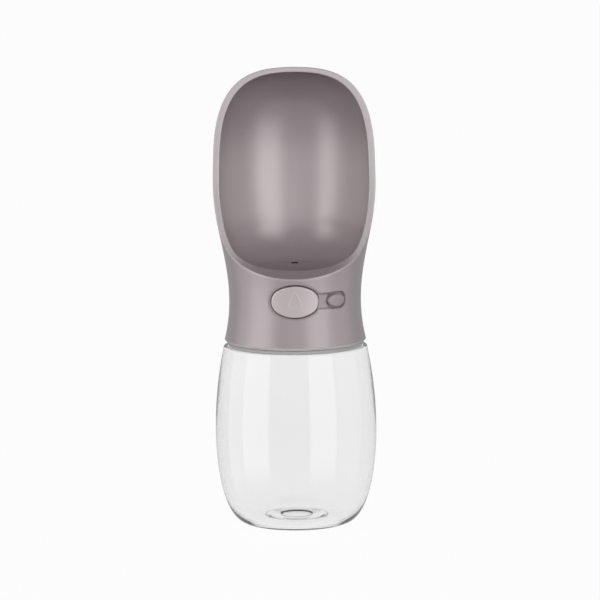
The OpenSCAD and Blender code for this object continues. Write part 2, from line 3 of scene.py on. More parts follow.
import bmesh
import bpy
import numpy as np
from mathutils import Matrix, Vector
from mathutils.geometry import delaunay_2d_cdt
from mathutils.kdtree import KDTree


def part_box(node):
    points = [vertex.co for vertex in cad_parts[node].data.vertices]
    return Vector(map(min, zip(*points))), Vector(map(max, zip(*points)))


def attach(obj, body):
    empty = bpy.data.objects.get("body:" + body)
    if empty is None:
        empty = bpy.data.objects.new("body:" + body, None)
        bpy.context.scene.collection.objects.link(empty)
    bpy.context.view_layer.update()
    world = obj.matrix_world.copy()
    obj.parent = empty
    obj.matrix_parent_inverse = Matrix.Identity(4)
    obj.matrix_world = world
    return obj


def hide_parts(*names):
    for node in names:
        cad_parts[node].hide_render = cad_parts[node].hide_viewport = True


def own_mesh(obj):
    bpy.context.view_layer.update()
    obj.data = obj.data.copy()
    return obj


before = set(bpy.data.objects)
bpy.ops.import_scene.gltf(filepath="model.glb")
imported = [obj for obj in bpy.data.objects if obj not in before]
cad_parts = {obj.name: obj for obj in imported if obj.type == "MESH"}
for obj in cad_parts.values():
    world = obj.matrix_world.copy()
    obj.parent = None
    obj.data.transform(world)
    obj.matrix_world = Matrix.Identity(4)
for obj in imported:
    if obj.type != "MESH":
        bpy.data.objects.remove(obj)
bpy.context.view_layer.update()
mm = 0.001  # every size below is in millimetres, and meshes are scaled as they are made


# Small tools for curves and outlines

def smooth(low, high, value):  # 0 below low, 1 above high
    t = np.clip((np.asarray(value, float) - low) / (high - low), 0, 1)
    return t * t * (3 - 2 * t)


def bezier(points, steps):
    t = np.linspace(0, 1, steps + 1)[:, None]
    a, b, c, d = (np.array(p, float) for p in points)
    return (1 - t) ** 3 * a + 3 * t * (1 - t) ** 2 * b + 3 * t * t * (1 - t) * c + t ** 3 * d


def cornerCurve(start, corner, end, t):  # a small curve from start to end that leans towards the corner
    return (1 - t) ** 2 * start + 2 * t * (1 - t) * corner + t * t * end


def arcLength(points):  # running length along the last but one axis
    steps = np.linalg.norm(np.diff(points, axis=-2), axis=-1)
    return np.concatenate([np.zeros(steps.shape[:-1] + (1,)), np.cumsum(steps, -1)], -1)


def roundCorners(corners, steps=4):  # corners as (r, z, radius), each rounded with a small curve
    path = [corners[0][:2]]
    for before, corner, after in zip(corners, corners[1:], corners[2:]):
        here, radius = np.array(corner[:2], float), corner[2]
        if radius == 0:
            path.append(tuple(here))
            continue
        back = np.array(before[:2]) - here
        ahead = np.array(after[:2]) - here
        turn = math.acos(np.clip(back @ ahead / np.linalg.norm(back) / np.linalg.norm(ahead), -1, 1))
        reach = min(radius / math.tan(turn / 2), 0.49 * np.linalg.norm(back), 0.49 * np.linalg.norm(ahead))
        start, end = here + reach * back / np.linalg.norm(back), here + reach * ahead / np.linalg.norm(ahead)
        path += [tuple(cornerCurve(start, here, end, t)) for t in np.linspace(0, 1, steps + 1)]
    path.append(corners[-1][:2])
    return np.array(path, float)


def densify(path, spacing):  # adds points so that no step is longer than spacing
    out = [path[0]]
    for a, b in zip(path, path[1:]):
        count = max(1, math.ceil(np.linalg.norm(np.subtract(b, a)) / spacing))
        out += [a + (np.array(b) - a) * i / count for i in range(1, count + 1)]
    return np.array(out)


def ovalOutline(halfW, halfH, endR, grow=0.0, count=120, arcSteps=400):  # four arcs, evenly spaced, anticlockwise
    reach = halfW - endR
    flatR = (reach ** 2 + halfH ** 2 - endR ** 2) / (2 * (halfH - endR))
    drop = flatR - halfH
    join = math.atan2(drop, reach)
    arcs = [(reach, 0, endR, -join, join), (0, -drop, flatR, join, math.pi - join),
            (-reach, 0, endR, math.pi - join, math.pi + join), (0, drop, flatR, math.pi + join, 2 * math.pi - join)]
    points = []
    for x, y, radius, start, end in arcs:
        turn = np.linspace(start, end, arcSteps, endpoint=False)
        points.append(np.stack([x + (radius + grow) * np.cos(turn), y + (radius + grow) * np.sin(turn)], 1))
    points = np.concatenate(points)
    closed = np.vstack([points, points[:1]])
    length = arcLength(closed)
    places = np.linspace(0, length[-1], count, endpoint=False)
    return np.stack([np.interp(places, length, closed[:, i]) for i in (0, 1)], 1)


def roundBox(u, v, halfU, halfV, radius):  # signed distance to a rounded box about the origin
    q = np.stack([np.abs(u) - halfU, np.abs(v) - halfV], -1) + radius
    outside = np.linalg.norm(np.maximum(q, 0), axis=-1)
    return outside + np.minimum(q.max(-1), 0) - radius


def unitRing(count):
    turn = np.linspace(0, 2 * math.pi, count, endpoint=False)
    return np.column_stack([np.cos(turn), np.sin(turn)])


def inside(points, polygon):  # which points lie in a closed polygon
    x, y = points[:, 0:1], points[:, 1:2]
    a, b = polygon, np.roll(polygon, -1, 0)
    crosses = (a[:, 1] > y) != (b[:, 1] > y)
    rise = np.where(b[:, 1] == a[:, 1], 1e-12, b[:, 1] - a[:, 1])  # a level edge crosses nothing
    return (crosses & (x < (b[:, 0] - a[:, 0]) * (y - a[:, 1]) / rise + a[:, 0])).sum(1) % 2 == 1


class MeshMaker:  # grows one mesh out of rows of points, strips between rows, and filled patches
    def __init__(self):
        self.points, self.faces, self.marks, self.count = [], [], [], 0

    def row(self, points, paintedLight=0.0):  # paintedLight above 0 is a painted highlight, below 0 is painted shade
        points = np.asarray(points, float).reshape(-1, 3)
        self.points.append(points)
        self.marks.append(np.full(len(points), paintedLight, float))
        self.count += len(points)
        return np.arange(self.count - len(points), self.count)

    def strip(self, low, high, skip=None):  # quads between two closed rows, except in the skipped columns
        nextLow, nextHigh = np.roll(low, -1), np.roll(high, -1)
        quads = np.stack([low, nextLow, nextHigh, high], 1)
        self.faces += (quads if skip is None else quads[~skip]).tolist()

    def loops(self, *rows, paintedLight=0.0):
        made = [self.row(points, paintedLight) for points in rows]
        for low, high in zip(made, made[1:]):
            self.strip(low, high)
        return made[0], made[-1]

    def everyPoint(self):
        return np.concatenate(self.points)

    def fan(self, loop, centre):
        middle = int(self.row([centre])[0])
        self.faces += [[int(a), int(b), middle] for a, b in zip(loop, np.roll(loop, -1))]

    # Fills the space between an outer loop and holes. Loops are (vertex indices, flat places). lift gives the points
    # in space of the flat places in between, which lie on a square grid, and shade gives their painted light and shade.
    def patch(self, outer, holes, spacing, lift, flip=False, shade=None, clearance=0.6):
        loops = [outer, *holes]
        low, high = outer[1].min(0), outer[1].max(0)
        across = [np.arange(low[i] + spacing / 2, high[i], spacing) for i in (0, 1)]
        grid = np.stack(np.meshgrid(*across), -1).reshape(-1, 2)
        keep = inside(grid, outer[1])
        for _, flat in holes:
            keep &= ~inside(grid, flat)
        edgePoints = np.concatenate([flat for _, flat in loops])
        tree = KDTree(len(edgePoints))
        for i, p in enumerate(edgePoints):
            tree.insert((p[0], p[1], 0), i)
        tree.balance()
        grid = np.array([p for p in grid[keep] if tree.find((p[0], p[1], 0))[2] > clearance * spacing]).reshape(-1, 2)
        flatPoints = np.concatenate([edgePoints, grid])
        rows = [loop[0] for loop in loops]
        if len(grid):
            rows.append(self.row(lift(grid), shade(grid) if shade else 0.0))
        indices = np.concatenate(rows)
        edges, start = [], 0
        for _, flat in loops:
            ring = np.arange(start, start + len(flat))
            edges += np.stack([ring, np.roll(ring, -1)], 1).tolist()
            start += len(flat)
        made = delaunay_2d_cdt([Vector(p) for p in flatPoints.tolist()], edges, [], 0, 1e-7)
        places = np.array([tuple(v) for v in made[0]])
        source = [origin[0] if origin else -1 for origin in made[3]]
        triangles = np.array([f for f in made[2] if len(f) == 3 and min(source[i] for i in f) >= 0])
        centres = places[triangles].mean(1)
        good = inside(centres, outer[1])
        for _, flat in holes:
            good &= ~inside(centres, flat)
        for t in triangles[good]:
            face = [int(indices[source[i]]) for i in t]
            self.faces.append(face[::-1] if flip else face)

    def finish(self, name, material, smoothAngle=40.0):
        mesh = bpy.data.meshes.new(name)
        mesh.from_pydata((self.everyPoint() * mm).tolist(), [], self.faces)
        layer = mesh.attributes.new("paintedLight", "FLOAT", "POINT")
        layer.data.foreach_set("value", np.concatenate(self.marks).astype(np.float32))
        return finishMesh(name, mesh, material, smoothAngle)


def finishMesh(name, mesh, material, smoothAngle):  # merges, turns normals outwards and shades smooth
    work = bmesh.new()
    work.from_mesh(mesh)
    bmesh.ops.remove_doubles(work, verts=work.verts, dist=2e-7)
    bmesh.ops.dissolve_degenerate(work, edges=work.edges, dist=1e-8)
    bmesh.ops.delete(work, geom=[v for v in work.verts if not v.link_faces], context="VERTS")
    bmesh.ops.recalc_face_normals(work, faces=work.faces)
    openEdges = sum(not e.is_manifold for e in work.edges)
    work.to_mesh(mesh)
    work.free()
    made = bpy.data.objects.new(name, mesh)
    bpy.context.scene.collection.objects.link(made)
    mesh.materials.clear()
    mesh.materials.append(material)
    for polygon in mesh.polygons:
        polygon.use_smooth = True
    mesh.set_sharp_from_angle(angle=math.radians(smoothAngle))
    mesh.calc_loop_triangles()
    print(name, len(mesh.loop_triangles), "triangles", openEdges, "open edges")
    return made


# Node tree tools, for materials and for geometry

def add(tree, kind, feeds=None, **settings):
    made = tree.nodes.new(kind)
    for name, value in settings.items():
        setattr(made, name, value)
    for socket, value in (feeds or {}).items():
        if isinstance(value, bpy.types.NodeSocket):
            tree.links.new(value, made.inputs[socket])
        else:
            made.inputs[socket].default_value = value
    return made


def maths(tree, operation, *values, clamp=False):
    return add(tree, "ShaderNodeMath", dict(enumerate(values)), operation=operation, use_clamp=clamp).outputs[0]


def blend(tree, share, first, second):  # mixes two colours
    return add(tree, "ShaderNodeMix", {0: share, 6: first, 7: second}, data_type="RGBA").outputs[2]


def ramp(tree, value, low, high, start=0.0, end=1.0):  # goes smoothly from start at low to end at high
    return add(tree, "ShaderNodeMapRange", {0: value, 1: low, 2: high, 3: start, 4: end},
               interpolation_type="SMOOTHSTEP").outputs[0]


def noise(tree, place, scale, detail):
    return add(tree, "ShaderNodeTexNoise", {"Vector": place, "Scale": scale, "Detail": detail}).outputs[0]


def vector(tree, x=0.0, y=0.0, z=0.0):
    return add(tree, "ShaderNodeCombineXYZ", {0: x, 1: y, 2: z}).outputs[0]


def newGroup(name, kind, inputs, outputs):  # a string names a socket's type, and a default value shows it
    tree = bpy.data.node_groups.new(name, kind)
    kinds = {int: "Int", float: "Float", tuple: "Color"}
    for way, sockets in (("INPUT", inputs), ("OUTPUT", outputs)):
        for label, value in sockets.items():
            named = isinstance(value, str)
            socketType = "NodeSocket" + (value if named else kinds[type(value)])
            made = tree.interface.new_socket(label, in_out=way, socket_type=socketType)
            if not named:
                made.default_value = value
    return tree, tree.nodes.new("NodeGroupInput").outputs, tree.nodes.new("NodeGroupOutput").inputs


def closeTree(tree, given, out, geometry):  # ends a geometry tree
    whole = add(tree, "GeometryNodeRealizeInstances", {0: geometry})
    finished = add(tree, "GeometryNodeSetMaterial", {"Geometry": whole.outputs[0], "Material": given["Material"]})
    tree.links.new(finished.outputs[0], out["Geometry"])
    return tree


# Runs a geometry tree on a base mesh and turns the result into a plain mesh
def makeWith(tree, base, values, name, material, smoothAngle=40.0):
    carrier = bpy.data.objects.new(name + "Source", base)
    bpy.context.scene.collection.objects.link(carrier)
    modifier = carrier.modifiers.new("make", "NODES")
    modifier.node_group = tree
    sockets = {s.name: s.identifier for s in tree.interface.items_tree if s.in_out == "INPUT"}
    for label, value in {**values, "Material": material}.items():
        modifier[sockets[label]] = value
    graph = bpy.context.evaluated_depsgraph_get()
    mesh = bpy.data.meshes.new_from_object(carrier.evaluated_get(graph))
    carrier.modifiers.remove(modifier)
    bpy.data.objects.remove(carrier)
    mesh.name = name
    return finishMesh(name, mesh, material, smoothAngle)


def pointMesh(name, points, edges=()):
    mesh = bpy.data.meshes.new(name)
    mesh.from_pydata([tuple(np.array(p) * mm) for p in points], list(edges), [])
    return mesh


# Finishes

def grainGroup():  # fine moulded grain, as a height
    tree, given, out = newGroup("mouldGrain", "ShaderNodeTree",
        {"Grain Size": 0.0004, "Unevenness": 0.4}, {"Height": "Float"})
    place = add(tree, "ShaderNodeTexCoord").outputs["Object"]
    scale = maths(tree, "DIVIDE", 1.0, given["Grain Size"])
    waves = maths(tree, "MULTIPLY", noise(tree, place, 55.0, 1.0), given["Unevenness"])
    tree.links.new(maths(tree, "ADD", noise(tree, place, scale, 2.0), waves), out["Height"])
    return tree


def driftGroup():  # slow drift of a colour over a surface
    tree, given, out = newGroup("colourDrift", "ShaderNodeTree",
        {"Color": (1, 1, 1, 1), "Second Color": (0.9, 0.9, 0.9, 1), "Patch Size": 0.02, "Strength": 0.5},
        {"Color": "Color"})
    place = add(tree, "ShaderNodeTexCoord").outputs["Object"]
    scale = maths(tree, "DIVIDE", 1.0, given["Patch Size"])
    share = maths(tree, "MULTIPLY", noise(tree, place, scale, 3.0), given["Strength"], clamp=True)
    tree.links.new(blend(tree, share, given["Color"], given["Second Color"]), out["Color"])
    return tree


def handlingGroup():  # faint rubbing and hairline scratches, as a roughness
    tree, given, out = newGroup("handling", "ShaderNodeTree",
        {"Roughness": 0.4, "Rubbing": 0.06, "Scratches": 0.04}, {"Roughness": "Float"})
    place = add(tree, "ShaderNodeTexCoord").outputs["Object"]
    rub = maths(tree, "SUBTRACT", noise(tree, place, 140.0, 4.0), 0.5)
    stretch = add(tree, "ShaderNodeMapping", {"Vector": place, "Rotation": (0.5, 0.3, 0.8), "Scale": (900, 70, 260)})
    lines = noise(tree, stretch.outputs[0], 1.0, 2.0)
    sharp = add(tree, "ShaderNodeMapRange", {0: lines, 1: 0.62, 2: 0.7, 3: 0.0, 4: 1.0}).outputs[0]
    total = maths(tree, "ADD", given["Roughness"], maths(tree, "MULTIPLY", rub, given["Rubbing"]))
    total = maths(tree, "ADD", total, maths(tree, "MULTIPLY", sharp, given["Scratches"]))
    tree.links.new(total, out["Roughness"])
    return tree


grain, drift, handling = grainGroup(), driftGroup(), handlingGroup()


def newMaterial(name):
    material = bpy.data.materials.new(name)
    material.use_nodes = True
    tree = material.node_tree
    return material, tree, tree.nodes["Principled BSDF"], tree.nodes["Material Output"]


def handledRoughness(tree, shader, look):
    rough = add(tree, "ShaderNodeGroup", {"Roughness": look["roughness"], "Rubbing": look["rubbing"],
                                          "Scratches": look["scratches"]}, node_tree=handling)
    tree.links.new(rough.outputs[0], shader.inputs["Roughness"])


def solidFinish(name, look):  # any opaque piece: drifting colour, moulded or brushed grain, handled roughness
    material, tree, shader, _ = newMaterial(name)
    drifting = add(tree, "ShaderNodeGroup", {"Color": (*look["colour"], 1), "Second Color": (*look["secondColour"], 1),
                                             "Patch Size": look["patchSize"], "Strength": 1.0}, node_tree=drift)
    # painted light: above 0 the painted highlight colour is mixed into the base colour, below 0 the painted shade
    # colour
    paintedLight = add(tree, "ShaderNodeAttribute", attribute_name="paintedLight").outputs["Fac"]
    light = (*look.get("paintedHighlightColour", look["colour"]), 1)
    paintedLightMix = blend(tree, paintedLight, drifting.outputs[0], light)
    dark = (*look.get("paintedShadeColour", look["colour"]), 1)
    depth = maths(tree, "MULTIPLY", paintedLight, -1.0, clamp=True)
    tree.links.new(blend(tree, depth, paintedLightMix, dark), shader.inputs["Base Color"])
    handledRoughness(tree, shader, look)
    texture = add(tree, "ShaderNodeGroup", {"Grain Size": look["grainSize"]}, node_tree=grain)
    bump = add(tree, "ShaderNodeBump", {"Height": texture.outputs[0], "Strength": look["grainStrength"],
                                        "Distance": look["grainDepth"]})
    tree.links.new(bump.outputs[0], shader.inputs["Normal"])
    shader.inputs["Metallic"].default_value = look.get("metallic", 0.0)
    shader.inputs["Sheen Weight"].default_value = look.get("sheen", 0.0)
    shader.inputs["Subsurface Weight"].default_value = look.get("subsurface", 0.0)
    shader.inputs["Subsurface Scale"].default_value = 0.001
    return material


shellLook = {"colour": (0.335, 0.293, 0.305), "secondColour": (0.318, 0.277, 0.29), "patchSize": 0.05,
             "paintedHighlightColour": (0.68, 0.63, 0.635), "paintedShadeColour": (0.03, 0.026, 0.027), "metallic": 0.25,
             "roughness": 0.33, "rubbing": 0.04, "scratches": 0.03,
             "grainSize": 0.00035, "grainStrength": 0.25, "grainDepth": 0.00002}
buttonLook = {**shellLook, "colour": (0.475, 0.418, 0.432), "secondColour": (0.452, 0.398, 0.412), "metallic": 0.2,
              "roughness": 0.4}
knobLook = {**buttonLook, "colour": (0.3, 0.263, 0.273), "secondColour": (0.285, 0.25, 0.26)}
siliconeLook = {"colour": (0.36, 0.355, 0.355), "secondColour": (0.335, 0.33, 0.33), "patchSize": 0.01,
                "roughness": 0.55, "rubbing": 0.08, "scratches": 0.02, "grainSize": 0.0006,
                "grainStrength": 0.3, "grainDepth": 0.00002, "sheen": 0.15}
innerLook = {"colour": (0.78, 0.77, 0.74), "secondColour": (0.74, 0.73, 0.7), "patchSize": 0.02,
             "roughness": 0.48, "rubbing": 0.06, "scratches": 0.03, "grainSize": 0.0004,
             "grainStrength": 0.2, "grainDepth": 0.00002, "subsurface": 0.1}
steelLook = {"colour": (0.6, 0.61, 0.62), "secondColour": (0.5, 0.51, 0.53), "patchSize": 0.003,
             "roughness": 0.28, "rubbing": 0.12, "scratches": 0.1, "grainSize": 0.0002,
             "grainStrength": 0.25, "grainDepth": 0.00001, "metallic": 1.0}
clearLook = {"colour": (0.93, 0.93, 0.93), "roughness": 0.008, "rubbing": 0.01, "scratches": 0.02, "ior": 1.47,
             "absorbs": (0.55, 0.56, 0.57), "density": 31.0, "shadow": (0.93, 0.93, 0.93)}


def clearFinish(name, look):  # clear plastic that darkens where light runs through more of it
    material, tree, shader, output = newMaterial(name)
    shader.inputs["Base Color"].default_value = (*look["colour"], 1)
    shader.inputs["Transmission Weight"].default_value = 1.0
    shader.inputs["IOR"].default_value = look["ior"]
    handledRoughness(tree, shader, look)
    inner = add(tree, "ShaderNodeVolumeAbsorption", {"Color": (*look["absorbs"], 1), "Density": look["density"]})
    tree.links.new(inner.outputs[0], output.inputs["Volume"])
    through = add(tree, "ShaderNodeBsdfTransparent", {"Color": (*look["shadow"], 1)})
    path = add(tree, "ShaderNodeLightPath").outputs["Is Shadow Ray"]
    mix = add(tree, "ShaderNodeMixShader", {0: path, 1: shader.outputs[0], 2: through.outputs[0]})
    tree.links.new(mix.outputs[0], output.inputs["Surface"])
    return material


shellFinish = solidFinish("satinShell", shellLook)
buttonFinish = solidFinish("buttonPlastic", buttonLook)
knobFinish = solidFinish("knobPlastic", knobLook)
siliconeFinish = solidFinish("siliconeRubber", siliconeLook)
innerFinish = solidFinish("innerPlastic", innerLook)
steelFinish = solidFinish("stainlessSteel", steelLook)
clearPlastic = clearFinish("clearPlastic", clearLook)
print("finishes made")


# Head: collar, waist and scoop in one shell, with the button's hole, the lock's channel and the drain

head = {
    "collarZ": 85.4, "waistZ": 105.0, "widestZ": 163.0, "topZ": 212.9,
    "waistR": 30.7, "headR": 38.4, "collarFlare": 2.6, "crownPower": 3.0,
    "wall": 3.0, "crownWall": 2.4, "cavityR": 28.2, "boreR": 28.75, "deckZ": 97.0, "ceilingZ": 117.2,
    "floorZ": 120.7, "floorFillet": 13.5, "filletSwing": 6.5, "floorTilt": 0.018, "tiltReach": 25.0,
    "lipZ": 118.2, "rimSetback": 6.5, "rimLean": 2.6, "rimPulls": ((17.6, 9.3), (-3.5, 16.8)), "rimStraight": 7,
    "rimOuterRound": 0.7, "rimInnerRound": 0.5, "drainY": 11.9, "drainW": 3.4, "drainL": 7.0,
    # how much lighter or darker each part is painted, from 0 to 1, and the ranges in which that fades in
    "rimPolish": 0.42, "bowlPaintedLight": 0.24, "lipPaintedHighlight": 0.35,
    "recessShade": 0.3, "lipShade": 0.3, "bowlShade": 0.14, "frontShade": 0.5,
    "recessFade": (0.1, 0.9), "sideFade": (1, 11), "bowlFade": (4, 24), "crownFade": (163, 193), "lowFade": (5, 16),
    "frontFade": (-12, 24),
    # mesh: columns to each side, rows, heights in which the columns lean to the rim's, radius of the floor's ring,
    # the two windows that are filled round the button, and the spacing of the filled parts
    "halfColumns": 160, "outerRows": 80, "innerRows": 58, "leanFade": (88, 116.5), "floorRingR": 17.0,
    "outerWindow": (-20, 38), "cavityWindow": (-24, 44), "windowTopZ": 117.05, "windowBelow": 2.4,
    "floorSpacing": 0.8, "ceilingSpacing": 2.4, "waistSpacing": 0.3, "cavitySpacing": 1.1,
}
posts = {"circle": 20.5, "angles": (35, 145, 215, 325), "radius": 2.8, "boreR": 1.27, "boreL": 7.5, "tipAboveDeck": 2}
thread = {"lead": 6.0, "sweep": 320.0, "height": 1.2, "rootHalf": 0.78, "crestHalf": 0.36,
          "neckStart": 86.2, "skirtStart": 87.7}
button = {"z": 107.8, "halfW": 10.9, "halfH": 7.3, "endR": 6.0, "gap": 0.3, "gapFlare": 0.1, "proud": 0.5,
          "dishDepth": 0.4, "dishWidth": 1.3, "edgeRound": 0.6,
          "flangeY": -25.17, "flangeT": 1.2, "flangeGrow": 1.2, "pocketY": -29.04, "skin": 1.6,
          "bossR": 3.0, "bossRelief": 0.5, "rodR": 1.52, "rodStartY": -27.47, "sideShade": 0.6, "faceSpacing": 0.17}
knob = {"angle": 38.2, "travel": 7.0, "halfW": 4.7, "halfH": 2.93, "endR": 2.3, "proud": 0.9,
        "edgeRound": 0.65, "dome": 0.25, "channelDepth": 0.75, "floorGap": 0.2,
        "stemHalfAngle": 2.0, "stemHalfH": 1.3, "stemInnerR": 26.7, "slotPlay": 0.5, "slotGap": 0.3,
        "channelFrom": 15.0, "slotHalfH": 3.45, "slotRound": 0.6, "slotWall": (-0.5, 0.6), "wellHalfW": 5.6,
        "wellHalfH": 3.95, "wellShift": 0.35, "wellRound": 3.9, "wellDepth": 1.35, "wellWall": (-0.35, 0.12),
        "stemTaper": 0.93, "faceSpacing": 0.3, "baseSpacing": 0.7}


def fade(label, value, start=0.0):  # 0 to 1 over one of the head's ranges, measured from start
    low, high = head[label]
    return smooth(start + low, start + high, value)


def headRadius(z):  # outside of the head, from the collar to its widest ring
    h = head
    z = np.asarray(z, float)
    flare = h["waistR"] + h["collarFlare"] * ((h["waistZ"] - z) / (h["waistZ"] - h["collarZ"])) ** 2
    rise = np.clip((z - h["waistZ"]) / (h["widestZ"] - h["waistZ"]), 0, 1)
    swell = h["waistR"] + (h["headR"] - h["waistR"]) * (1 - np.cos(math.pi * rise)) / 2
    return np.where(z < h["waistZ"], flare, swell)


def crownCurve(radius, height, steps):  # superellipse quarter, from the widest ring to the top
    turn = np.linspace(0, math.pi / 2, steps + 1)[1:]
    c, s = np.maximum(np.cos(turn), 0), np.sin(turn)
    size = (c ** head["crownPower"] + s ** head["crownPower"]) ** (-1 / head["crownPower"])
    return np.stack([radius * c * size, head["widestZ"] + height * s * size], 1)


def outerProfile(lowest):
    z = np.linspace(lowest, head["widestZ"], 420)
    side = np.stack([headRadius(z), z], 1)
    return np.vstack([side, crownCurve(head["headR"], head["topZ"] - head["widestZ"], 480)])


def bowlCorner(angles):  # radius of the fillet between floor and wall, and height and distance of its centre
    fillet = head["floorFillet"] + head["filletSwing"] * np.sin(angles)
    cornerZ = head["floorZ"] + fillet
    return fillet, cornerZ, headRadius(cornerZ) - head["wall"] - fillet


def tilted(y, z):  # heights of the bowl once its floor slopes to the drain
    share = smooth(0, 1, 1 - (z - head["floorZ"]) / head["tiltReach"])
    return z + head["floorTilt"] * (head["drainY"] - y) * share


def bowlProfiles(angles):  # for each angle in radians, the bowl's points from its middle up to the crown
    h = head
    fillet, cornerZ, cornerR = (part[:, None] for part in bowlCorner(angles))
    t = np.linspace(0, 1, 60)[None]
    turn = np.linspace(0, math.pi / 2, 140)[None, 1:]
    wallZ = cornerZ + (h["widestZ"] - cornerZ) * np.linspace(0, 1, 160)[None, 1:]
    crown = crownCurve(h["headR"] - h["wall"], h["topZ"] - h["crownWall"] - h["widestZ"], 240)
    ones = np.ones((len(angles), 1))
    r = np.hstack([cornerR * t, cornerR + fillet * np.sin(turn), headRadius(wallZ) - h["wall"], ones * crown[:, 0]])
    z = np.hstack([h["floorZ"] * ones * np.ones_like(t), cornerZ - fillet * np.cos(turn), wallZ, ones * crown[:, 1]])
    x, y = r * np.cos(angles)[:, None], r * np.sin(angles)[:, None]
    return np.stack([x, y, tilted(y, z)], -1)


def bowlFloor(flat):  # points of the bowl's floor over places (x, y)
    fillet, cornerZ, cornerR = bowlCorner(np.arctan2(flat[:, 1], flat[:, 0]))
    z = cornerZ - np.sqrt(fillet ** 2 - np.clip(np.linalg.norm(flat, axis=1) - cornerR, 0, None) ** 2)
    return np.column_stack([flat, tilted(flat[:, 1], z)])


lipY = -float(headRadius(head["lipZ"]))
lowPull, highPull = head["rimPulls"]
rimSweep = bezier([(lipY, head["lipZ"]), (lipY + lowPull[0], head["lipZ"] + lowPull[1]),
                   (head["rimSetback"] + highPull[0], head["lipZ"] + highPull[1]),
                   (head["rimSetback"], head["widestZ"] + head["rimStraight"])], 200)
rimSweep = np.vstack([[lipY - 100, head["lipZ"] - 10], rimSweep,
                      [head["rimSetback"] + head["rimLean"], head["topZ"] + 1]])


def rimY(z):  # how far back the open side reaches at each height
    return np.interp(z, rimSweep[:, 1], rimSweep[:, 0])


def outerCurves(angles):
    profile = outerProfile(head["collarZ"] + 2)
    r, z = profile[:, 0][None], profile[:, 1][None]
    ones = np.ones((len(angles), 1))
    return np.stack([r * np.cos(angles)[:, None], r * np.sin(angles)[:, None], z * ones], -1)


def crossing(curves, lengths):  # length along each curve at which it meets the open side
    side = curves[..., 1] - rimY(curves[..., 2])
    after = np.argmax(side < 0, axis=1)
    rows = np.arange(len(curves))
    a, b = side[rows, after - 1], side[rows, after]
    share = a / (a - b)
    return lengths[rows, after - 1] + share * (lengths[rows, after] - lengths[rows, after - 1])


def along(curves, lengths, places):  # points at the given lengths, one row of places for each curve
    out = np.empty(places.shape + (3,))
    for i in range(len(curves)):
        for axis in range(3):
            out[i, :, axis] = np.interp(places[i], lengths[i], curves[i, :, axis])
    return out


def edgeOf(curves, lengths):  # the point of each curve on the open side
    return along(curves, lengths, crossing(curves, lengths)[:, None])[:, 0]


def rimEdge(curvesOf, roundness, reach=0.2, nudge=1e-3):  # the rim's edge on one surface, where its rounding starts
    angles = np.radians(np.linspace(-90, 90, 3601))
    curves = curvesOf(angles)
    lengths = arcLength(curves)
    edge = edgeOf(curves, lengths)
    run = arcLength(edge)
    chosen = np.interp(np.linspace(0, run[-1], head["halfColumns"] + 1), run, angles)
    curves = curvesOf(chosen)
    lengths = arcLength(curves)
    edge = edgeOf(curves, lengths)
    before = np.vstack([edge[1] * [-1, 1, 1], edge[:-1]])
    after = np.vstack([edge[1:], edge[-2] * [-1, 1, 1]])
    tangent = (after - before) / np.linalg.norm(after - before, axis=1)[:, None]
    ahead = curvesOf(chosen + nudge)
    place = crossing(curves, lengths)
    upper = along(curves, lengths, (place + reach)[:, None])[:, 0]
    lower = along(curves, lengths, (place - reach)[:, None])[:, 0]
    turned = along(ahead, arcLength(ahead), place[:, None])[:, 0]
    normal = np.cross(turned - edge, upper - lower)
    normal /= np.linalg.norm(normal, axis=1)[:, None]
    away = np.cross(tangent, normal)
    target = edge + roundness * away / np.linalg.norm(away, axis=1)[:, None]
    target[0, 0] = target[-1, 0] = 0
    startAngles = np.arctan2(target[:, 1], target[:, 0])
    curves = curvesOf(startAngles)
    lengths = arcLength(curves)
    gap = np.linalg.norm(curves - target[:, None], axis=-1)
    nearest = gap.argmin(1)
    starts = []
    for i, n in enumerate(nearest):
        lo, hi = max(n - 1, 0), min(n + 1, curves.shape[1] - 1)
        chord = curves[i, hi] - curves[i, lo]
        share = np.clip((target[i] - curves[i, lo]) @ chord / (chord @ chord), 0, 1)
        starts.append(lengths[i, lo] + share * (lengths[i, hi] - lengths[i, lo]))
    return edge, startAngles, np.array(starts)


def mirrored(rightHalf):  # right half, front to back, to a whole loop anticlockwise from the front
    return np.concatenate([rightHalf, rightHalf[-2:0:-1] * [-1, 1, 1]])


def turnedLoop(angles):
    return np.concatenate([angles, math.pi - angles[-2:0:-1]])


def threadHeight(angles, z, start):  # height of the two thread ridges at an angle in radians and a height z
    total = np.zeros(np.broadcast(angles, z).shape)
    for phase in (0, math.pi):
        turn = np.degrees((angles - phase) % (2 * math.pi))
        fade = np.clip(np.minimum(turn + 2, thread["sweep"] - turn + 2) / 30, 0, 1)
        off = np.abs(z - start - thread["lead"] * turn / 360)
        total = np.maximum(total, fade * (1 - smooth(thread["crestHalf"], thread["rootHalf"], off)))
    return thread["height"] * total


def frontOval(shape, grow, radius=None, push=0.0):  # the button's oval on the waist, seen along Y
    outline = ovalOutline(shape["halfW"], shape["halfH"], shape["endR"], grow)
    z = outline[:, 1] + shape["z"]
    r = headRadius(z) if radius is None else radius
    y = -np.sqrt(r ** 2 - outline[:, 0] ** 2) + push
    return np.column_stack([outline[:, 0], y, z])


def roundAxis(angle, radius, z):  # points at angles from the front
    return np.column_stack([radius * np.sin(angle), -radius * np.cos(angle), z])


def stemSlot(radius, corner=0.5, squareness=9):
    reachAngle = knob["travel"] / 2 + knob["stemHalfAngle"] + knob["slotPlay"]
    middle = math.radians(knob["angle"] - knob["travel"] / 2)
    halfU = math.radians(reachAngle) * head["waistR"]
    halfV = knob["stemHalfH"] + knob["slotGap"]
    x, y = unitRing(72).T
    u = np.clip(x * squareness, -1, 1) * (halfU - corner) + corner * x
    v = np.clip(y * squareness, -1, 1) * (halfV - corner) + corner * y
    return roundAxis(middle + u / head["waistR"], radius, button["z"] + v)


def unrolled(points):  # places round the waist: (length from the front, height)
    return np.round(np.column_stack([np.arctan2(points[:, 0], -points[:, 1]) * head["waistR"], points[:, 2]]), 6)


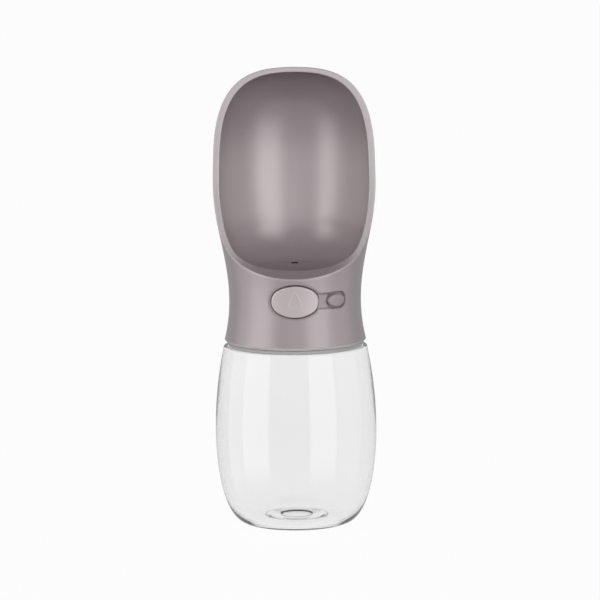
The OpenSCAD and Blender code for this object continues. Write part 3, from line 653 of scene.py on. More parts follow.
holeOutline = ovalOutline(button["halfW"], button["halfH"], button["endR"], button["gap"], 720)


def recessDepth(u, z):  # how deep the waist is pressed in: a dish round the button, and the knob's channel
    r = headRadius(z)
    x, v = r * np.sin(u / head["waistR"]), z - button["z"]
    places = np.column_stack([x, v])
    toHole = np.min(np.linalg.norm(places[:, None] - holeOutline[None, ::4], axis=-1), axis=1)
    dish = button["dishDepth"] * (1 - smooth(0, button["dishWidth"], toHole))
    uKnob = math.radians(knob["angle"]) * head["waistR"]
    uStart = math.radians(knob["channelFrom"]) * head["waistR"]
    slot = roundBox(u - (uKnob + uStart) / 2, v, (uKnob - uStart) / 2, knob["slotHalfH"], knob["slotRound"])
    well = roundBox(u - uKnob - knob["wellShift"], v, knob["wellHalfW"], knob["wellHalfH"], knob["wellRound"])
    channel = knob["channelDepth"] * (1 - smooth(*knob["slotWall"], slot))
    ring = knob["wellDepth"] * (1 - smooth(*knob["wellWall"], well))
    return np.maximum(dish, np.maximum(channel, ring))


def onWaist(flat):  # points of the pressed-in waist over unrolled places
    depth = np.concatenate([recessDepth(part[:, 0], part[:, 1]) for part in np.array_split(flat, 12) if len(part)])
    return roundAxis(flat[:, 0] / head["waistR"], headRadius(flat[:, 1]) - depth, flat[:, 1])


def recessShade(flat):  # the pressed-in parts gather a little shadow
    depth = headRadius(flat[:, 1]) - np.linalg.norm(onWaist(flat)[:, :2], axis=1)
    return -head["recessShade"] * fade("recessFade", depth)


def windowLoop(rows, low, high, left, right):  # indices round a window in a grid of rows
    count = len(rows[0])
    columns = [k % count for k in range(left, right + 1)]
    bottom = [rows[low][k] for k in columns]
    rightSide = [rows[i][columns[-1]] for i in range(low + 1, high)]
    top = [rows[high][k] for k in reversed(columns)]
    leftSide = [rows[i][columns[0]] for i in range(high - 1, low, -1)]
    return np.array(bottom + rightSide + top + leftSide)


def makeHead():
    h, half = head, head["halfColumns"]
    maker = MeshMaker()
    columns = 2 * half
    even = np.radians(-90 + 180 * np.arange(columns) / half)
    outerEdge, outerAngles, outerStarts = rimEdge(outerCurves, h["rimOuterRound"])
    innerEdge, innerAngles, innerStarts = rimEdge(bowlProfiles, h["rimInnerRound"])
    print("rim solved")

    # inside of the neck, from the ceiling down, and round the collar's lower edge
    reach = 1.2  # of the rounded corners at the ceiling and at the collar's outer edge
    flare = float(headRadius(h["collarZ"] + reach))
    path = roundCorners([
        (h["cavityR"] - reach, h["ceilingZ"], 0), (h["cavityR"], h["ceilingZ"], 0.8),
        (h["cavityR"], h["deckZ"] - 0.4, 0.1), (h["boreR"], h["deckZ"] - 0.4, 0.15),
        (h["boreR"], h["collarZ"] + 0.5, 0.2), (h["boreR"] + 0.5, h["collarZ"], 0.2),
        (flare - reach, h["collarZ"], 0.7), (flare, h["collarZ"] + reach, 0.8),
        (float(headRadius(h["collarZ"] + 2)), h["collarZ"] + 2, 0)])
    wallTop, wallEnd = h["ceilingZ"] - reach, h["deckZ"] + 1
    fine = [path[0]]
    for a, b in zip(path, path[1:]):
        spacing = 1.2 if b[1] > h["deckZ"] - 1 else 0.4  # finer along the thread
        count = max(1, round(float(np.linalg.norm(b - a)) / spacing))
        fine += [a + (b - a) * i / count for i in range(1, count + 1)]
    innerRows = []
    for r, z in fine[:-1]:
        depth = 0
        if abs(r - h["boreR"]) < 0.01 and z < h["deckZ"] - 0.5:
            depth = threadHeight(even, z, thread["skirtStart"])
        # painted highlight along the collar's lower rounded edge
        edge = smooth(h["boreR"] + 2.2, h["boreR"] + 2.8, r) * (1 - smooth(h["collarZ"] + 1, h["collarZ"] + 1.4, z))
        innerRows.append(maker.row(np.column_stack([(r - depth) * np.cos(even), (r - depth) * np.sin(even),
                                                    np.full(columns, z)]), edge))
    heights = [z for _, z in fine[:-1]]
    upper = min(i for i, z in enumerate(heights) if z < wallTop)
    lower = max(i for i, z in enumerate(heights) if z > wallEnd)

    # outside, from the collar up to where the rim's rounding starts
    angles, starts = turnedLoop(outerAngles), np.concatenate([outerStarts, outerStarts[-2:0:-1]])
    profile = outerProfile(h["collarZ"] + 2)
    run = arcLength(profile)
    outerRows = []
    for i in range(h["outerRows"] + 1):
        place = starts * i / h["outerRows"]
        r, z = np.interp(place, run, profile[:, 0]), np.interp(place, run, profile[:, 1])
        angle = even + (angles - even) * fade("leanFade", z)
        outerRows.append(maker.row(np.column_stack([r * np.cos(angle), r * np.sin(angle), z])))
    everything = innerRows + outerRows
    frontZ = np.interp(starts[0] * np.arange(h["outerRows"] + 1) / h["outerRows"], run, profile[:, 1])
    lowRow = int(np.searchsorted(frontZ, button["z"] - button["halfH"] - h["windowBelow"]))
    highRow = int(np.searchsorted(frontZ, h["windowTopZ"])) - 1
    skipCavity = np.isin(np.arange(columns), [k % columns for k in range(*h["cavityWindow"])])
    skipOuter = np.isin(np.arange(columns), [k % columns for k in range(*h["outerWindow"])])
    for i, (a, b) in enumerate(zip(everything, everything[1:])):
        j = i - len(innerRows)
        skip = skipCavity if upper <= i < lower else skipOuter if lowRow <= j < highRow else None
        maker.strip(a, b, skip)

    # rim: rounded outer edge, flat band, rounded inner edge
    outerStart = maker.points[-1]
    edgeOut, edgeIn = mirrored(outerEdge), mirrored(innerEdge)
    bowlCurves = bowlProfiles(innerAngles)
    bowlLengths = arcLength(bowlCurves)
    innerStart = mirrored(along(bowlCurves, bowlLengths, innerStarts[:, None])[:, 0])
    atSides = fade("sideFade", edgeOut[:, 2], h["lipZ"])
    # painted light on the rim band: lighter at the sides, a painted highlight, and darker at the lip, painted shade
    paintedLightMix = h["rimPolish"] * atSides - h["lipShade"] * (1 - atSides)
    width = np.linalg.norm(edgeIn - edgeOut, axis=1)[:, None]
    lowShare, highShare = h["rimOuterRound"] / width, 1 - h["rimInnerRound"] / width

    def bandPoint(share):  # on the flat band, at a share of its width
        p = edgeOut + (edgeIn - edgeOut) * share
        bend = np.minimum(share, 1 - share) * 4
        p[:, 1] += (rimY(np.maximum(p[:, 2], h["lipZ"])) - p[:, 1]) * np.clip(bend, 0, 1)[:, 0]
        return p

    outerEnd, innerEnd = bandPoint(lowShare), bandPoint(highShare)
    rows = [outerRows[-1]]
    # a painted highlight line runs along the lip's outer rounding, and the band's painted light carries over both
    # roundings
    for t in np.linspace(0, 1, 6)[1:]:
        line = h["lipPaintedHighlight"] * math.sin(math.pi * t) * (1 - atSides)
        rows.append(maker.row(cornerCurve(outerStart, edgeOut, outerEnd, t), t * paintedLightMix + line))
    for t in np.linspace(0, 1, 6)[1:]:
        rows.append(maker.row(bandPoint(lowShare + (highShare - lowShare) * t), paintedLightMix))
    for t in np.linspace(0, 1, 5)[1:]:
        rows.append(maker.row(cornerCurve(innerEnd, edgeIn, innerStart, t), (1 - t) * paintedLightMix))

    # bowl, from the rim down to a ring on the floor; its middle heights are painted lighter, a painted highlight, and
    # its crown and floor are painted darker, painted shade
    def frontShade(points):  # painted shade on the floor, deeper towards the lip
        return h["frontShade"] * fade("frontFade", -points[:, 1])

    radius = np.linalg.norm(bowlCurves[..., :2], axis=-1)
    enough = 150  # points of a curve to look through, which end on the fillet
    floorPlace = np.array([np.interp(h["floorRingR"], radius[i, :enough], bowlLengths[i, :enough])
                           for i in range(half + 1)])
    t = np.linspace(0, 1, h["innerRows"] + 1)[1:]
    places = innerStarts[:, None] + (floorPlace - innerStarts)[:, None] * t[None]
    grid = along(bowlCurves, bowlLengths, places)
    for i in range(h["innerRows"]):
        points = mirrored(grid[:, i])
        lit = fade("bowlFade", points[:, 2], h["floorZ"]) * (1 - fade("crownFade", points[:, 2]))
        near = 1 - fade("lowFade", points[:, 2], h["floorZ"])
        rows.append(maker.row(points, h["bowlPaintedLight"] * lit - (h["bowlShade"] + near * frontShade(points)) * (1 - lit)))
    for low, high in zip(rows, rows[1:]):
        maker.strip(low, high)
    print("shell rows made")

    # floor of the bowl, drain slot, ceiling of the neck with its four screw posts
    lipGrow, flareGrow = 0.25, 1.1  # how much the slot widens at the floor's surface and under the floor

    def drainLoop(grow):
        x, y = unitRing(64).T
        r = h["drainW"] / 2 + grow
        return np.column_stack([r * x, h["drainY"] + r * y + np.sign(y) * (h["drainL"] - h["drainW"]) / 2])

    def ceiling(flat):
        return np.column_stack([flat, np.full(len(flat), h["ceilingZ"])])

    lips = []
    for grow, drop in ((lipGrow, 0.0), (0.08, 0.04), (0.0, 0.12), (0.0, 0.22), (flareGrow, 0.5)):
        points = bowlFloor(drainLoop(grow))
        points[:, 2] -= drop
        lips.append(points)
    lipRow, edgeRow = maker.loops(*lips[:3])
    # the slot's walls under the floor are painted in full shade
    darkRow, underRow = maker.loops(*lips[3:], ceiling(drainLoop(flareGrow)), paintedLight=-1.0)
    maker.strip(edgeRow, darkRow)
    floorRing, ceilingRing = rows[-1], innerRows[0]
    maker.patch((floorRing, maker.everyPoint()[floorRing][:, :2]), [(lipRow, drainLoop(lipGrow))],
                h["floorSpacing"], bowlFloor, shade=lambda flat: -h["bowlShade"] - frontShade(flat))
    holes = [(underRow, drainLoop(flareGrow))]
    ring = unitRing(36)
    postTip, edge = h["deckZ"] + posts["tipAboveDeck"], 0.2
    boreEnd = postTip + posts["boreL"]
    for angle in np.radians(posts["angles"]):
        middle = posts["circle"] * np.array([math.cos(angle), math.sin(angle)])
        steps = ((posts["radius"], h["ceilingZ"]), (posts["radius"], postTip + edge), (posts["radius"] - edge, postTip),
                 (posts["boreR"], postTip), (posts["boreR"], boreEnd))
        top, inner = maker.loops(*(np.column_stack([middle + r * ring, np.full(len(ring), z)]) for r, z in steps))
        maker.fan(inner, (*middle, boreEnd))
        holes.append((top, middle + posts["radius"] * ring))
    maker.patch((ceilingRing, maker.everyPoint()[ceilingRing][:, :2]), holes, h["ceilingSpacing"], ceiling, True)

    # the button's hole and the knob's slot, through the waist
    gap = button["gap"] + button["gapFlare"]
    lipLoops = [onWaist(unrolled(frontOval(button, gap + grow))) for grow in (0.3, 0.12, 0.03, 0.0)]
    for points, drop in zip(lipLoops, (0.0, 0.05, 0.16, 0.34)):
        points[:, 1] += drop
    buttonFront, lipEnd = maker.loops(*lipLoops[:3])
    # the wall of the gap round the button is painted in full shade
    gapStart = maker.row(lipLoops[3], -1.0)
    buttonBack = maker.row(frontOval(button, button["gap"], h["cavityR"]))
    maker.strip(lipEnd, gapStart)
    maker.strip(gapStart, buttonBack)
    slotLip = stemSlot(h["waistR"] - knob["wellDepth"])
    slotFront, slotBack = maker.loops(onWaist(unrolled(slotLip)), stemSlot(h["cavityR"]))
    allPoints = maker.everyPoint()
    loop = windowLoop(outerRows, lowRow, highRow, *h["outerWindow"])
    maker.patch((loop, unrolled(allPoints[loop])),
                [(buttonFront, unrolled(allPoints[buttonFront])), (slotFront, unrolled(allPoints[slotFront]))],
                h["waistSpacing"], onWaist, shade=recessShade)
    loop = windowLoop(innerRows, upper, lower, *h["cavityWindow"])

    def onCavity(flat):
        return roundAxis(flat[:, 0] / h["waistR"], h["cavityR"], flat[:, 1])

    maker.patch((loop, unrolled(allPoints[loop])),
                [(buttonBack, unrolled(allPoints[buttonBack])), (slotBack, unrolled(allPoints[slotBack]))],
                h["cavitySpacing"], onCavity, True)
    return maker.finish("head", shellFinish)


headPiece = makeHead()


# Button: domed oval with a rounded edge and a raised drop, flange, and a pocket with a boss behind

mark = {"dropR": 2.7, "dropZ": -1.3, "tipZ": 4.4, "lineHalf": 0.22, "height": 0.16, "shineR": 1.5,
        "shineFrom": -2.6, "shineTo": -1.5, "blend": 0.2}


def markHeight(x, v):  # a raised outline of a drop, and a short arc inside it
    m = mark
    reach = m["tipZ"] - m["dropZ"]
    side = math.asin(m["dropR"] / reach)
    ax, dv = np.abs(x), v - m["dropZ"]
    toCircle = np.hypot(x, dv) - m["dropR"]
    normal = (math.cos(side), math.sin(side))
    toCone = ax * normal[0] + dv * normal[1] - m["dropR"]
    upper = (dv > m["dropR"] * math.sin(side)) & (toCone > -2)
    past = np.hypot(x, v - m["tipZ"])
    drop = np.where(upper, np.where(v > m["tipZ"], past, toCone), toCircle)
    line = np.abs(drop)
    angle = np.arctan2(dv, x)
    inArc = (angle > m["shineFrom"]) & (angle < m["shineTo"])
    shine = np.where(inArc, np.abs(np.hypot(x, dv) - m["shineR"]), 9)  # 9 is far from any line
    line = np.minimum(line, shine)
    return m["height"] * (1 - smooth(m["lineHalf"], m["lineHalf"] + m["blend"], line))


def makeButton():
    b = button
    maker = MeshMaker()

    def outline(grow):
        return ovalOutline(b["halfW"], b["halfH"], b["endR"], grow)

    def frontFace(flat, push=0.0, raised=False):
        z = flat[:, 1] + b["z"]
        y = -np.sqrt((headRadius(z) + b["proud"]) ** 2 - flat[:, 0] ** 2) + push
        if raised:
            y = y - markHeight(flat[:, 0], flat[:, 1])
        return np.column_stack([flat[:, 0], y, z])

    def level(flat, y):
        return np.column_stack([flat[:, 0], np.full(len(flat), y), flat[:, 1] + b["z"]])

    e = b["edgeRound"]
    turns = np.linspace(0, math.pi / 2, 7)
    edge = [frontFace(outline(-e + e * math.sin(t)), e * (1 - math.cos(t))) for t in turns]
    backY, bevel = b["flangeY"] + b["flangeT"], 0.2
    bossY = backY - b["bossRelief"]
    faceRow, edgeRow = maker.loops(*edge[:-1])
    sideRow = maker.row(edge[-1], -b["sideShade"])
    flangeRow, pocketRow = maker.loops(*(level(outline(grow), y) for grow, y in (
        (0, b["flangeY"]), (b["flangeGrow"], b["flangeY"]), (b["flangeGrow"], backY),
        (-b["skin"], backY), (-b["skin"], b["pocketY"]))))
    maker.strip(edgeRow, sideRow)
    maker.strip(sideRow, flangeRow)
    maker.patch((faceRow, outline(-e)), [], b["faceSpacing"], lambda flat: frontFace(flat, raised=True))
    circle = unitRing(60)
    bossRow, deepRow = maker.loops(*(level(r * circle, y) for r, y in (
        (b["bossR"], b["pocketY"]), (b["bossR"], bossY - bevel), (b["bossR"] - bevel, bossY),
        (b["rodR"], bossY), (b["rodR"], b["rodStartY"]))))
    maker.fan(deepRow, (0, b["rodStartY"], b["z"]))
    maker.patch((pocketRow, outline(-b["skin"])), [(bossRow, b["bossR"] * circle)], 1.0,
                lambda flat: level(flat, b["pocketY"]))
    return maker.finish("thumbButton", buttonFinish)


def makeKnob():
    k = knob
    maker = MeshMaker()
    turned = math.radians(k["angle"])

    def place(flat, radius):  # local (sideways, up) at a distance from the axis, turned to the knob's angle
        points = np.column_stack([flat[:, 0], -radius, flat[:, 1] + button["z"]])
        c, s = math.cos(turned), math.sin(turned)
        return np.column_stack([c * points[:, 0] - s * points[:, 1], s * points[:, 0] + c * points[:, 1], points[:, 2]])

    def face(flat, push=0.0):
        lift = k["dome"] * (1 - np.clip((flat[:, 0] / k["halfW"]) ** 2 + (flat[:, 1] / k["halfH"]) ** 2, 0, 1))
        outer = headRadius(flat[:, 1] + button["z"]) + k["proud"] - k["dome"]
        return place(flat, np.sqrt(outer ** 2 - flat[:, 0] ** 2) + lift - push)

    def level(flat, r):
        return place(flat, np.sqrt(r ** 2 - flat[:, 0] ** 2))

    def outline(grow):
        return ovalOutline(k["halfW"], k["halfH"], k["endR"], grow, 84)

    e = k["edgeRound"]
    edge = [face(outline(-e + e * math.sin(t)), e * (1 - math.cos(t))) for t in np.linspace(0, math.pi / 2, 6)]
    baseR = head["waistR"] - k["channelDepth"] + k["floorGap"]
    faceRow, baseRow = maker.loops(*edge, level(outline(0), baseR))
    maker.patch((faceRow, outline(-e)), [], k["faceSpacing"], face)
    halfU = math.sin(math.radians(k["stemHalfAngle"])) * baseR
    square = np.clip(unitRing(32) * 1.42, -1, 1) * [halfU, k["stemHalfH"]]  # a circle clipped to its square
    stemRow, endRow = maker.loops(level(square, baseR), level(square * [k["stemTaper"], 1], k["stemInnerR"]))
    maker.patch((baseRow, outline(0)), [(stemRow, square)], k["baseSpacing"], lambda flat: level(flat, baseR))
    maker.fan(endRow, place(np.array([[0.0, 0.0]]), np.array([k["stemInnerR"]]))[0])
    return maker.finish("lockKnob", knobFinish)


buttonPiece, knobPiece = makeButton(), makeKnob()


# Turned pieces: one geometry tree turns a profile round the axis and can raise a two-start thread on it

def turningTree():
    tree, given, out = newGroup("turnProfile", "GeometryNodeTree",
        {"Geometry": "Geometry", "Material": "Material", "Segments": 192, "Profile Points": 2,
         "Thread Height": 0.0, "Thread Lead": 0.006, "Thread Start": 0.0862, "Thread Sweep": 0.8889,
         "Thread Radius": 0.0272, "Root Half Width": 0.00078, "Crest Half Width": 0.00036}, {"Geometry": "Geometry"})
    columns = maths(tree, "ADD", given["Segments"], 1.0)
    grid = add(tree, "GeometryNodeMeshGrid", {"Vertices X": columns, "Vertices Y": given["Profile Points"]})
    index = add(tree, "GeometryNodeInputIndex").outputs[0]
    rowIndex = maths(tree, "MODULO", index, given["Profile Points"])
    column = maths(tree, "FLOOR", maths(tree, "DIVIDE", index, given["Profile Points"]))
    turn = maths(tree, "MULTIPLY", maths(tree, "DIVIDE", column, given["Segments"]), 2 * math.pi)
    place = add(tree, "GeometryNodeInputPosition").outputs[0]
    sample = add(tree, "GeometryNodeSampleIndex", {"Geometry": given["Geometry"], "Value": place, "Index": rowIndex},
                 data_type="FLOAT_VECTOR")
    profile = add(tree, "ShaderNodeSeparateXYZ", {0: sample.outputs[0]}).outputs
    ridges = []
    for phase in (0.0, 0.5):  # the two starts of the thread, half a turn apart
        share = maths(tree, "FRACT", maths(tree, "ADD", maths(tree, "DIVIDE", turn, 2 * math.pi), 1.0 - phase))
        height = maths(tree, "ADD", given["Thread Start"], maths(tree, "MULTIPLY", given["Thread Lead"], share))
        off = maths(tree, "ABSOLUTE", maths(tree, "SUBTRACT", profile[2], height))
        ends = maths(tree, "MINIMUM", share, maths(tree, "SUBTRACT", given["Thread Sweep"], share))
        fadeIn = maths(tree, "MULTIPLY_ADD", ends, 12.0, 0.07, clamp=True)  # full height 28 degrees from an end
        ridge = ramp(tree, off, given["Crest Half Width"], given["Root Half Width"], 1.0, 0.0)
        ridges.append(maths(tree, "MULTIPLY", ridge, fadeIn))
    height = maths(tree, "MULTIPLY", maths(tree, "MAXIMUM", *ridges), given["Thread Height"])
    onNeck = maths(tree, "GREATER_THAN", profile[0], maths(tree, "SUBTRACT", given["Thread Radius"], 0.00005))
    radius = maths(tree, "MULTIPLY_ADD", height, onNeck, profile[0])
    x = maths(tree, "MULTIPLY", radius, maths(tree, "COSINE", turn))
    y = maths(tree, "MULTIPLY", radius, maths(tree, "SINE", turn))
    moved = vector(tree, x, y, profile[2])
    placed = add(tree, "GeometryNodeSetPosition", {"Geometry": grid.outputs[0], "Position": moved})
    merged = add(tree, "GeometryNodeMergeByDistance", {"Geometry": placed.outputs[0], "Distance": 1e-7})
    return closeTree(tree, given, out, merged.outputs[0])


turning = turningTree()


def turned(name, profile, material, threadValues=None, segments=192, smoothAngle=40.0):
    base = pointMesh(name + "Profile", [(r, 0, z) for r, z in profile], [(i, i + 1) for i in range(len(profile) - 1)])
    values = {"Segments": segments, "Profile Points": len(profile), "Thread Height": 0.0, **(threadValues or {})}
    return makeWith(turning, base, values, name, material, smoothAngle)


bottle = {"widestR": 37.65, "widestZ": 44.0, "shoulderR": 33.7, "shoulderZ": 83.0, "wall": 1.8, "topWall": 1.0,
          "footR": 23.0, "footPull": 10, "pushUpR": 20.5, "pushUp": 1.4, "dishR": 14.6, "dishStep": 0.5,
          "ringR": 7.6, "ringSlope": 0.4, "centreRise": -0.7, "neckR": 27.2, "boreR": 24.6, "neckTopZ": 95.0,
          # how far below the shoulder its outside and its inside start to bend, and how far above it each surface ends
          "bend": 1.6, "innerBend": 3, "shoulderRise": 0.6, "innerRise": 0.2, "segments": 216}


def bottleProfile():
    b, w, top = bottle, bottle["wall"], bottle["shoulderZ"]
    outZ = np.linspace(b["widestZ"], top - b["bend"], 44)[1:]
    inZ = np.linspace(top - b["innerBend"], b["widestZ"], 44)[1:-1]

    def sideRadius(z):
        return b["widestR"] - (b["widestR"] - b["shoulderR"]) * ((z - b["widestZ"]) / (top - 1 - b["widestZ"])) ** 2

    def insideRadius(z):  # the wall thins a little towards the shoulder
        return sideRadius(z) - w + (w - b["topWall"]) * smooth(b["widestZ"], top, z)

    lower = bezier([(b["footR"], 0), (b["footR"] + b["footPull"], 0), (b["widestR"], b["widestZ"] / 2),
                    (b["widestR"], b["widestZ"])], 48)
    innerLower = bezier([  # the wall is a tenth thicker at the foot
        (b["footR"] - 0.3 * w, 1.1 * w), (b["footR"] + b["footPull"] - 0.6 * w, 1.1 * w),
        (b["widestR"] - w, b["widestZ"] / 2), (b["widestR"] - w, b["widestZ"])], 40)
    slopeR, floorZ = b["ringR"] - b["ringSlope"], b["pushUp"] + w
    under = roundCorners([
        (0, b["pushUp"] + b["centreRise"], 0), (slopeR, b["pushUp"] + b["centreRise"], 0.2),
        (b["ringR"], b["pushUp"], 0.2), (b["dishR"] - 0.3, b["pushUp"] - 0.2, 0.1),
        (b["dishR"], b["pushUp"] - 0.2 - b["dishStep"], 0.1), (b["pushUpR"] + 1, 0, 9.0), (b["footR"], 0, 0)], 8)
    shoulder = roundCorners([
        (sideRadius(top - b["bend"]), top - b["bend"], 0), (b["shoulderR"] - 0.1, top + b["shoulderRise"], 1.5),
        (b["neckR"], top + b["shoulderRise"], 0.4), (b["neckR"], b["neckTopZ"], 0.5), (b["boreR"], b["neckTopZ"], 0.5),
        (b["boreR"], top + b["innerRise"], 1.0), (insideRadius(top), top + b["innerRise"], 1.1),
        (insideRadius(top - b["innerBend"]), top - b["innerBend"], 0)], 6)
    floor = roundCorners([
        (*innerLower[0], 0), (b["dishR"] - 2, floorZ, 9.0), (b["ringR"], floorZ, 0.2),
        (slopeR, floorZ + b["centreRise"], 0.2), (0, floorZ + b["centreRise"], 0)], 8)
    return np.concatenate([
        densify(under[:-1], 1.6), lower, np.stack([sideRadius(outZ), outZ], 1), densify(shoulder, 0.3)[1:],
        np.stack([insideRadius(inZ), inZ], 1), innerLower[::-1], densify(floor, 1.6)[1:]])


def ringSection(innerR, outerR, low, high, rounds):  # starts and ends halfway up the inner side
    places = ((innerR, low), (outerR, low), (outerR, high), (innerR, high))
    middle = (innerR, (low + high) / 2, 0)
    return densify(roundCorners([middle, *((*place, bevel) for place, bevel in zip(places, rounds)), middle]), 0.8)


bottlePiece = turned("bottle", bottleProfile(), clearPlastic, {
    "Thread Height": thread["height"] * mm, "Thread Lead": thread["lead"] * mm,
    "Thread Start": thread["neckStart"] * mm, "Thread Sweep": round(thread["sweep"] / 360, 4),
    "Thread Radius": bottle["neckR"] * mm, "Root Half Width": thread["rootHalf"] * mm,
    "Crest Half Width": thread["crestHalf"] * mm}, bottle["segments"], 35.0)
seals = {"ringPlay": 0.02, "ringRounds": (0.2, 0.3, 0.5, 0.2), "gasketPlay": 0.3, "gasketRounds": (0.4, 0.4, 0.4, 0.4)}
ringLow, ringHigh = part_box("shoulder_ring")
ringPiece = turned("shoulderRing", ringSection(
    bottle["neckR"] + seals["ringPlay"], ringHigh.x / mm, ringLow.z / mm + bottle["shoulderRise"], ringHigh.z / mm,
    seals["ringRounds"]), siliconeFinish)
gasketLow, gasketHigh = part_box("mouth_gasket")
gasketPiece = turned("mouthGasket", ringSection(
    bottle["boreR"] + seals["gasketPlay"], gasketHigh.x / mm, gasketLow.z / mm, gasketHigh.z / mm,
    seals["gasketRounds"]), siliconeFinish)
print("turned pieces made")


# Return spring: one wire on a helix along Y

spring = {"turns": 6.0, "coilR": 4.2, "wireR": 0.3, "points": 400}


def springTree():
    tree, given, out = newGroup("windSpring", "GeometryNodeTree",
        {"Geometry": "Geometry", "Material": "Material", "Turns": 6.0, "Coil Radius": 0.0042, "Wire Radius": 0.0003,
         "Start": 0.0, "End": 0.01, "Height": 0.1, "Points": 360}, {"Geometry": "Geometry"})
    line = add(tree, "GeometryNodeMeshLine", {"Count": given["Points"]})
    share = maths(tree, "DIVIDE", add(tree, "GeometryNodeInputIndex").outputs[0],
                  maths(tree, "SUBTRACT", given["Points"], 1.0))
    turn = maths(tree, "MULTIPLY", maths(tree, "MULTIPLY", share, given["Turns"]), 2 * math.pi)
    x = maths(tree, "MULTIPLY", maths(tree, "COSINE", turn), given["Coil Radius"])
    z = maths(tree, "MULTIPLY_ADD", maths(tree, "SINE", turn), given["Coil Radius"], given["Height"])
    run = maths(tree, "SUBTRACT", given["End"], given["Start"])
    y = maths(tree, "MULTIPLY_ADD", share, run, given["Start"])
    placed = add(tree, "GeometryNodeSetPosition", {"Geometry": line.outputs[0], "Position": vector(tree, x, y, z)})
    wire = add(tree, "GeometryNodeMeshToCurve", {0: placed.outputs[0]})
    section = add(tree, "GeometryNodeCurvePrimitiveCircle", {"Resolution": 14, "Radius": given["Wire Radius"]})
    body = add(tree, "GeometryNodeCurveToMesh", {"Curve": wire.outputs[0], "Profile Curve": section.outputs[0],
                                                 "Fill Caps": True})
    return closeTree(tree, given, out, body.outputs[0])


springLow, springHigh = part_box("return_spring")
springPiece = makeWith(springTree(), pointMesh("springSeed", [(0, 0, 0)]), {
    "Turns": spring["turns"], "Coil Radius": spring["coilR"] * mm, "Wire Radius": spring["wireR"] * mm,
    "Start": springLow.y + spring["wireR"] * mm, "End": springHigh.y - spring["wireR"] * mm,
    "Height": button["z"] * mm, "Points": spring["points"]}, "returnSpring", steelFinish)


# Screws: one geometry tree cuts a pan-head screw with a cross recess and a thread, and puts one at each point

def screwTree():
    tree, given, out = newGroup("placeScrews", "GeometryNodeTree",
        {"Geometry": "Geometry", "Material": "Material", "Shank Radius": 0.00125, "Shank Length": 0.009,
         "Head Radius": 0.0025, "Head Height": 0.0016, "Pitch": 0.001, "Turn Over": 0.0}, {"Geometry": "Geometry"})

    def share(label, part):  # a part of one of the given sizes
        return maths(tree, "MULTIPLY", given[label], part)

    def transform(piece, **how):
        return add(tree, "GeometryNodeTransform", {"Geometry": piece.outputs[0], **how})

    core = share("Shank Radius", 0.8)
    shank = add(tree, "GeometryNodeMeshCylinder", {"Vertices": 28, "Radius": core, "Depth": given["Shank Length"]})
    shankUp = transform(shank, Translation=vector(tree, z=share("Shank Length", 0.5)))
    turns = maths(tree, "DIVIDE", given["Shank Length"], share("Pitch", 1.12))
    helix = add(tree, "GeometryNodeCurveSpiral", {"Resolution": 24, "Rotations": turns, "Start Radius": core,
                                                  "End Radius": core, "Height": share("Shank Length", 0.92)})
    ridge = add(tree, "GeometryNodeCurvePrimitiveCircle", {"Resolution": 4, "Radius": share("Shank Radius", 0.19)})
    threads = add(tree, "GeometryNodeCurveToMesh", {"Curve": helix.outputs[0], "Profile Curve": ridge.outputs[0],
                                                    "Fill Caps": True})
    ball = add(tree, "GeometryNodeMeshUVSphere", {"Segments": 40, "Rings": 20, "Radius": given["Head Radius"]})
    flatten = maths(tree, "DIVIDE", given["Head Height"], given["Head Radius"])
    dome = transform(ball, Scale=vector(tree, 1.0, 1.0, flatten))
    upper = transform(add(tree, "GeometryNodeMeshCube", {"Size": (0.02, 0.02, 0.02)}), Translation=(0, 0, 0.01))
    slotSize = vector(tree, share("Head Radius", 1.15), share("Head Radius", 0.26), given["Head Height"])
    slot = add(tree, "GeometryNodeMeshCube", {"Size": slotSize})
    slots = [transform(slot, Translation=vector(tree, z=share("Head Height", drop)), Rotation=(0, 0, turn))
             for turn, drop in ((0.0, -1.0), (math.pi / 2, -0.96))]
    recessed = add(tree, "GeometryNodeMeshBoolean", {0: dome.outputs[0]}, operation="DIFFERENCE")
    for cutter in (upper, *slots):
        tree.links.new(cutter.outputs[0], recessed.inputs[1])
    both = add(tree, "GeometryNodeJoinGeometry")
    for part in (recessed, threads, shankUp):
        tree.links.new(part.outputs[0], both.inputs[0])
    over = transform(both, Rotation=vector(tree, given["Turn Over"]))
    placed = add(tree, "GeometryNodeInstanceOnPoints", {"Points": given["Geometry"], "Instance": over.outputs[0]})
    return closeTree(tree, given, out, placed.outputs[0])


screws = {
    "deckScrews": {"places": [(posts["circle"] * math.cos(math.radians(a)), posts["circle"] * math.sin(math.radians(a)))
                              for a in posts["angles"]], "z": head["deckZ"], "shankR": 1.25, "shankL": 9.0,
                   "headR": 2.5, "headH": 1.6, "pitch": 1.0, "turnOver": 0.0},
    "smallScrews": {"places": [(-8.5, -15.17), (8.5, -15.17), (-10.2, 4), (10.2, 4)], "z": 101.0, "shankR": 0.95,
                    "shankL": 5.0, "headR": 1.8, "headH": 1.1, "pitch": 0.8, "turnOver": math.pi},
}
screwMaker = screwTree()


def makeScrews(name):
    s = screws[name]
    return makeWith(screwMaker, pointMesh(name + "Seats", [(x, y, s["z"]) for x, y in s["places"]]), {
        "Shank Radius": s["shankR"] * mm, "Shank Length": s["shankL"] * mm, "Head Radius": s["headR"] * mm,
        "Head Height": s["headH"] * mm, "Pitch": s["pitch"] * mm, "Turn Over": s["turnOver"]}, name, steelFinish)


deckScrews, smallScrews = makeScrews("deckScrews"), makeScrews("smallScrews")
print("spring and screws made")


# Pieces to bodies, with the nodes they replace hidden

def settle(piece, body, slot, *nodes):
    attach(piece, body)
    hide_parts(*nodes)


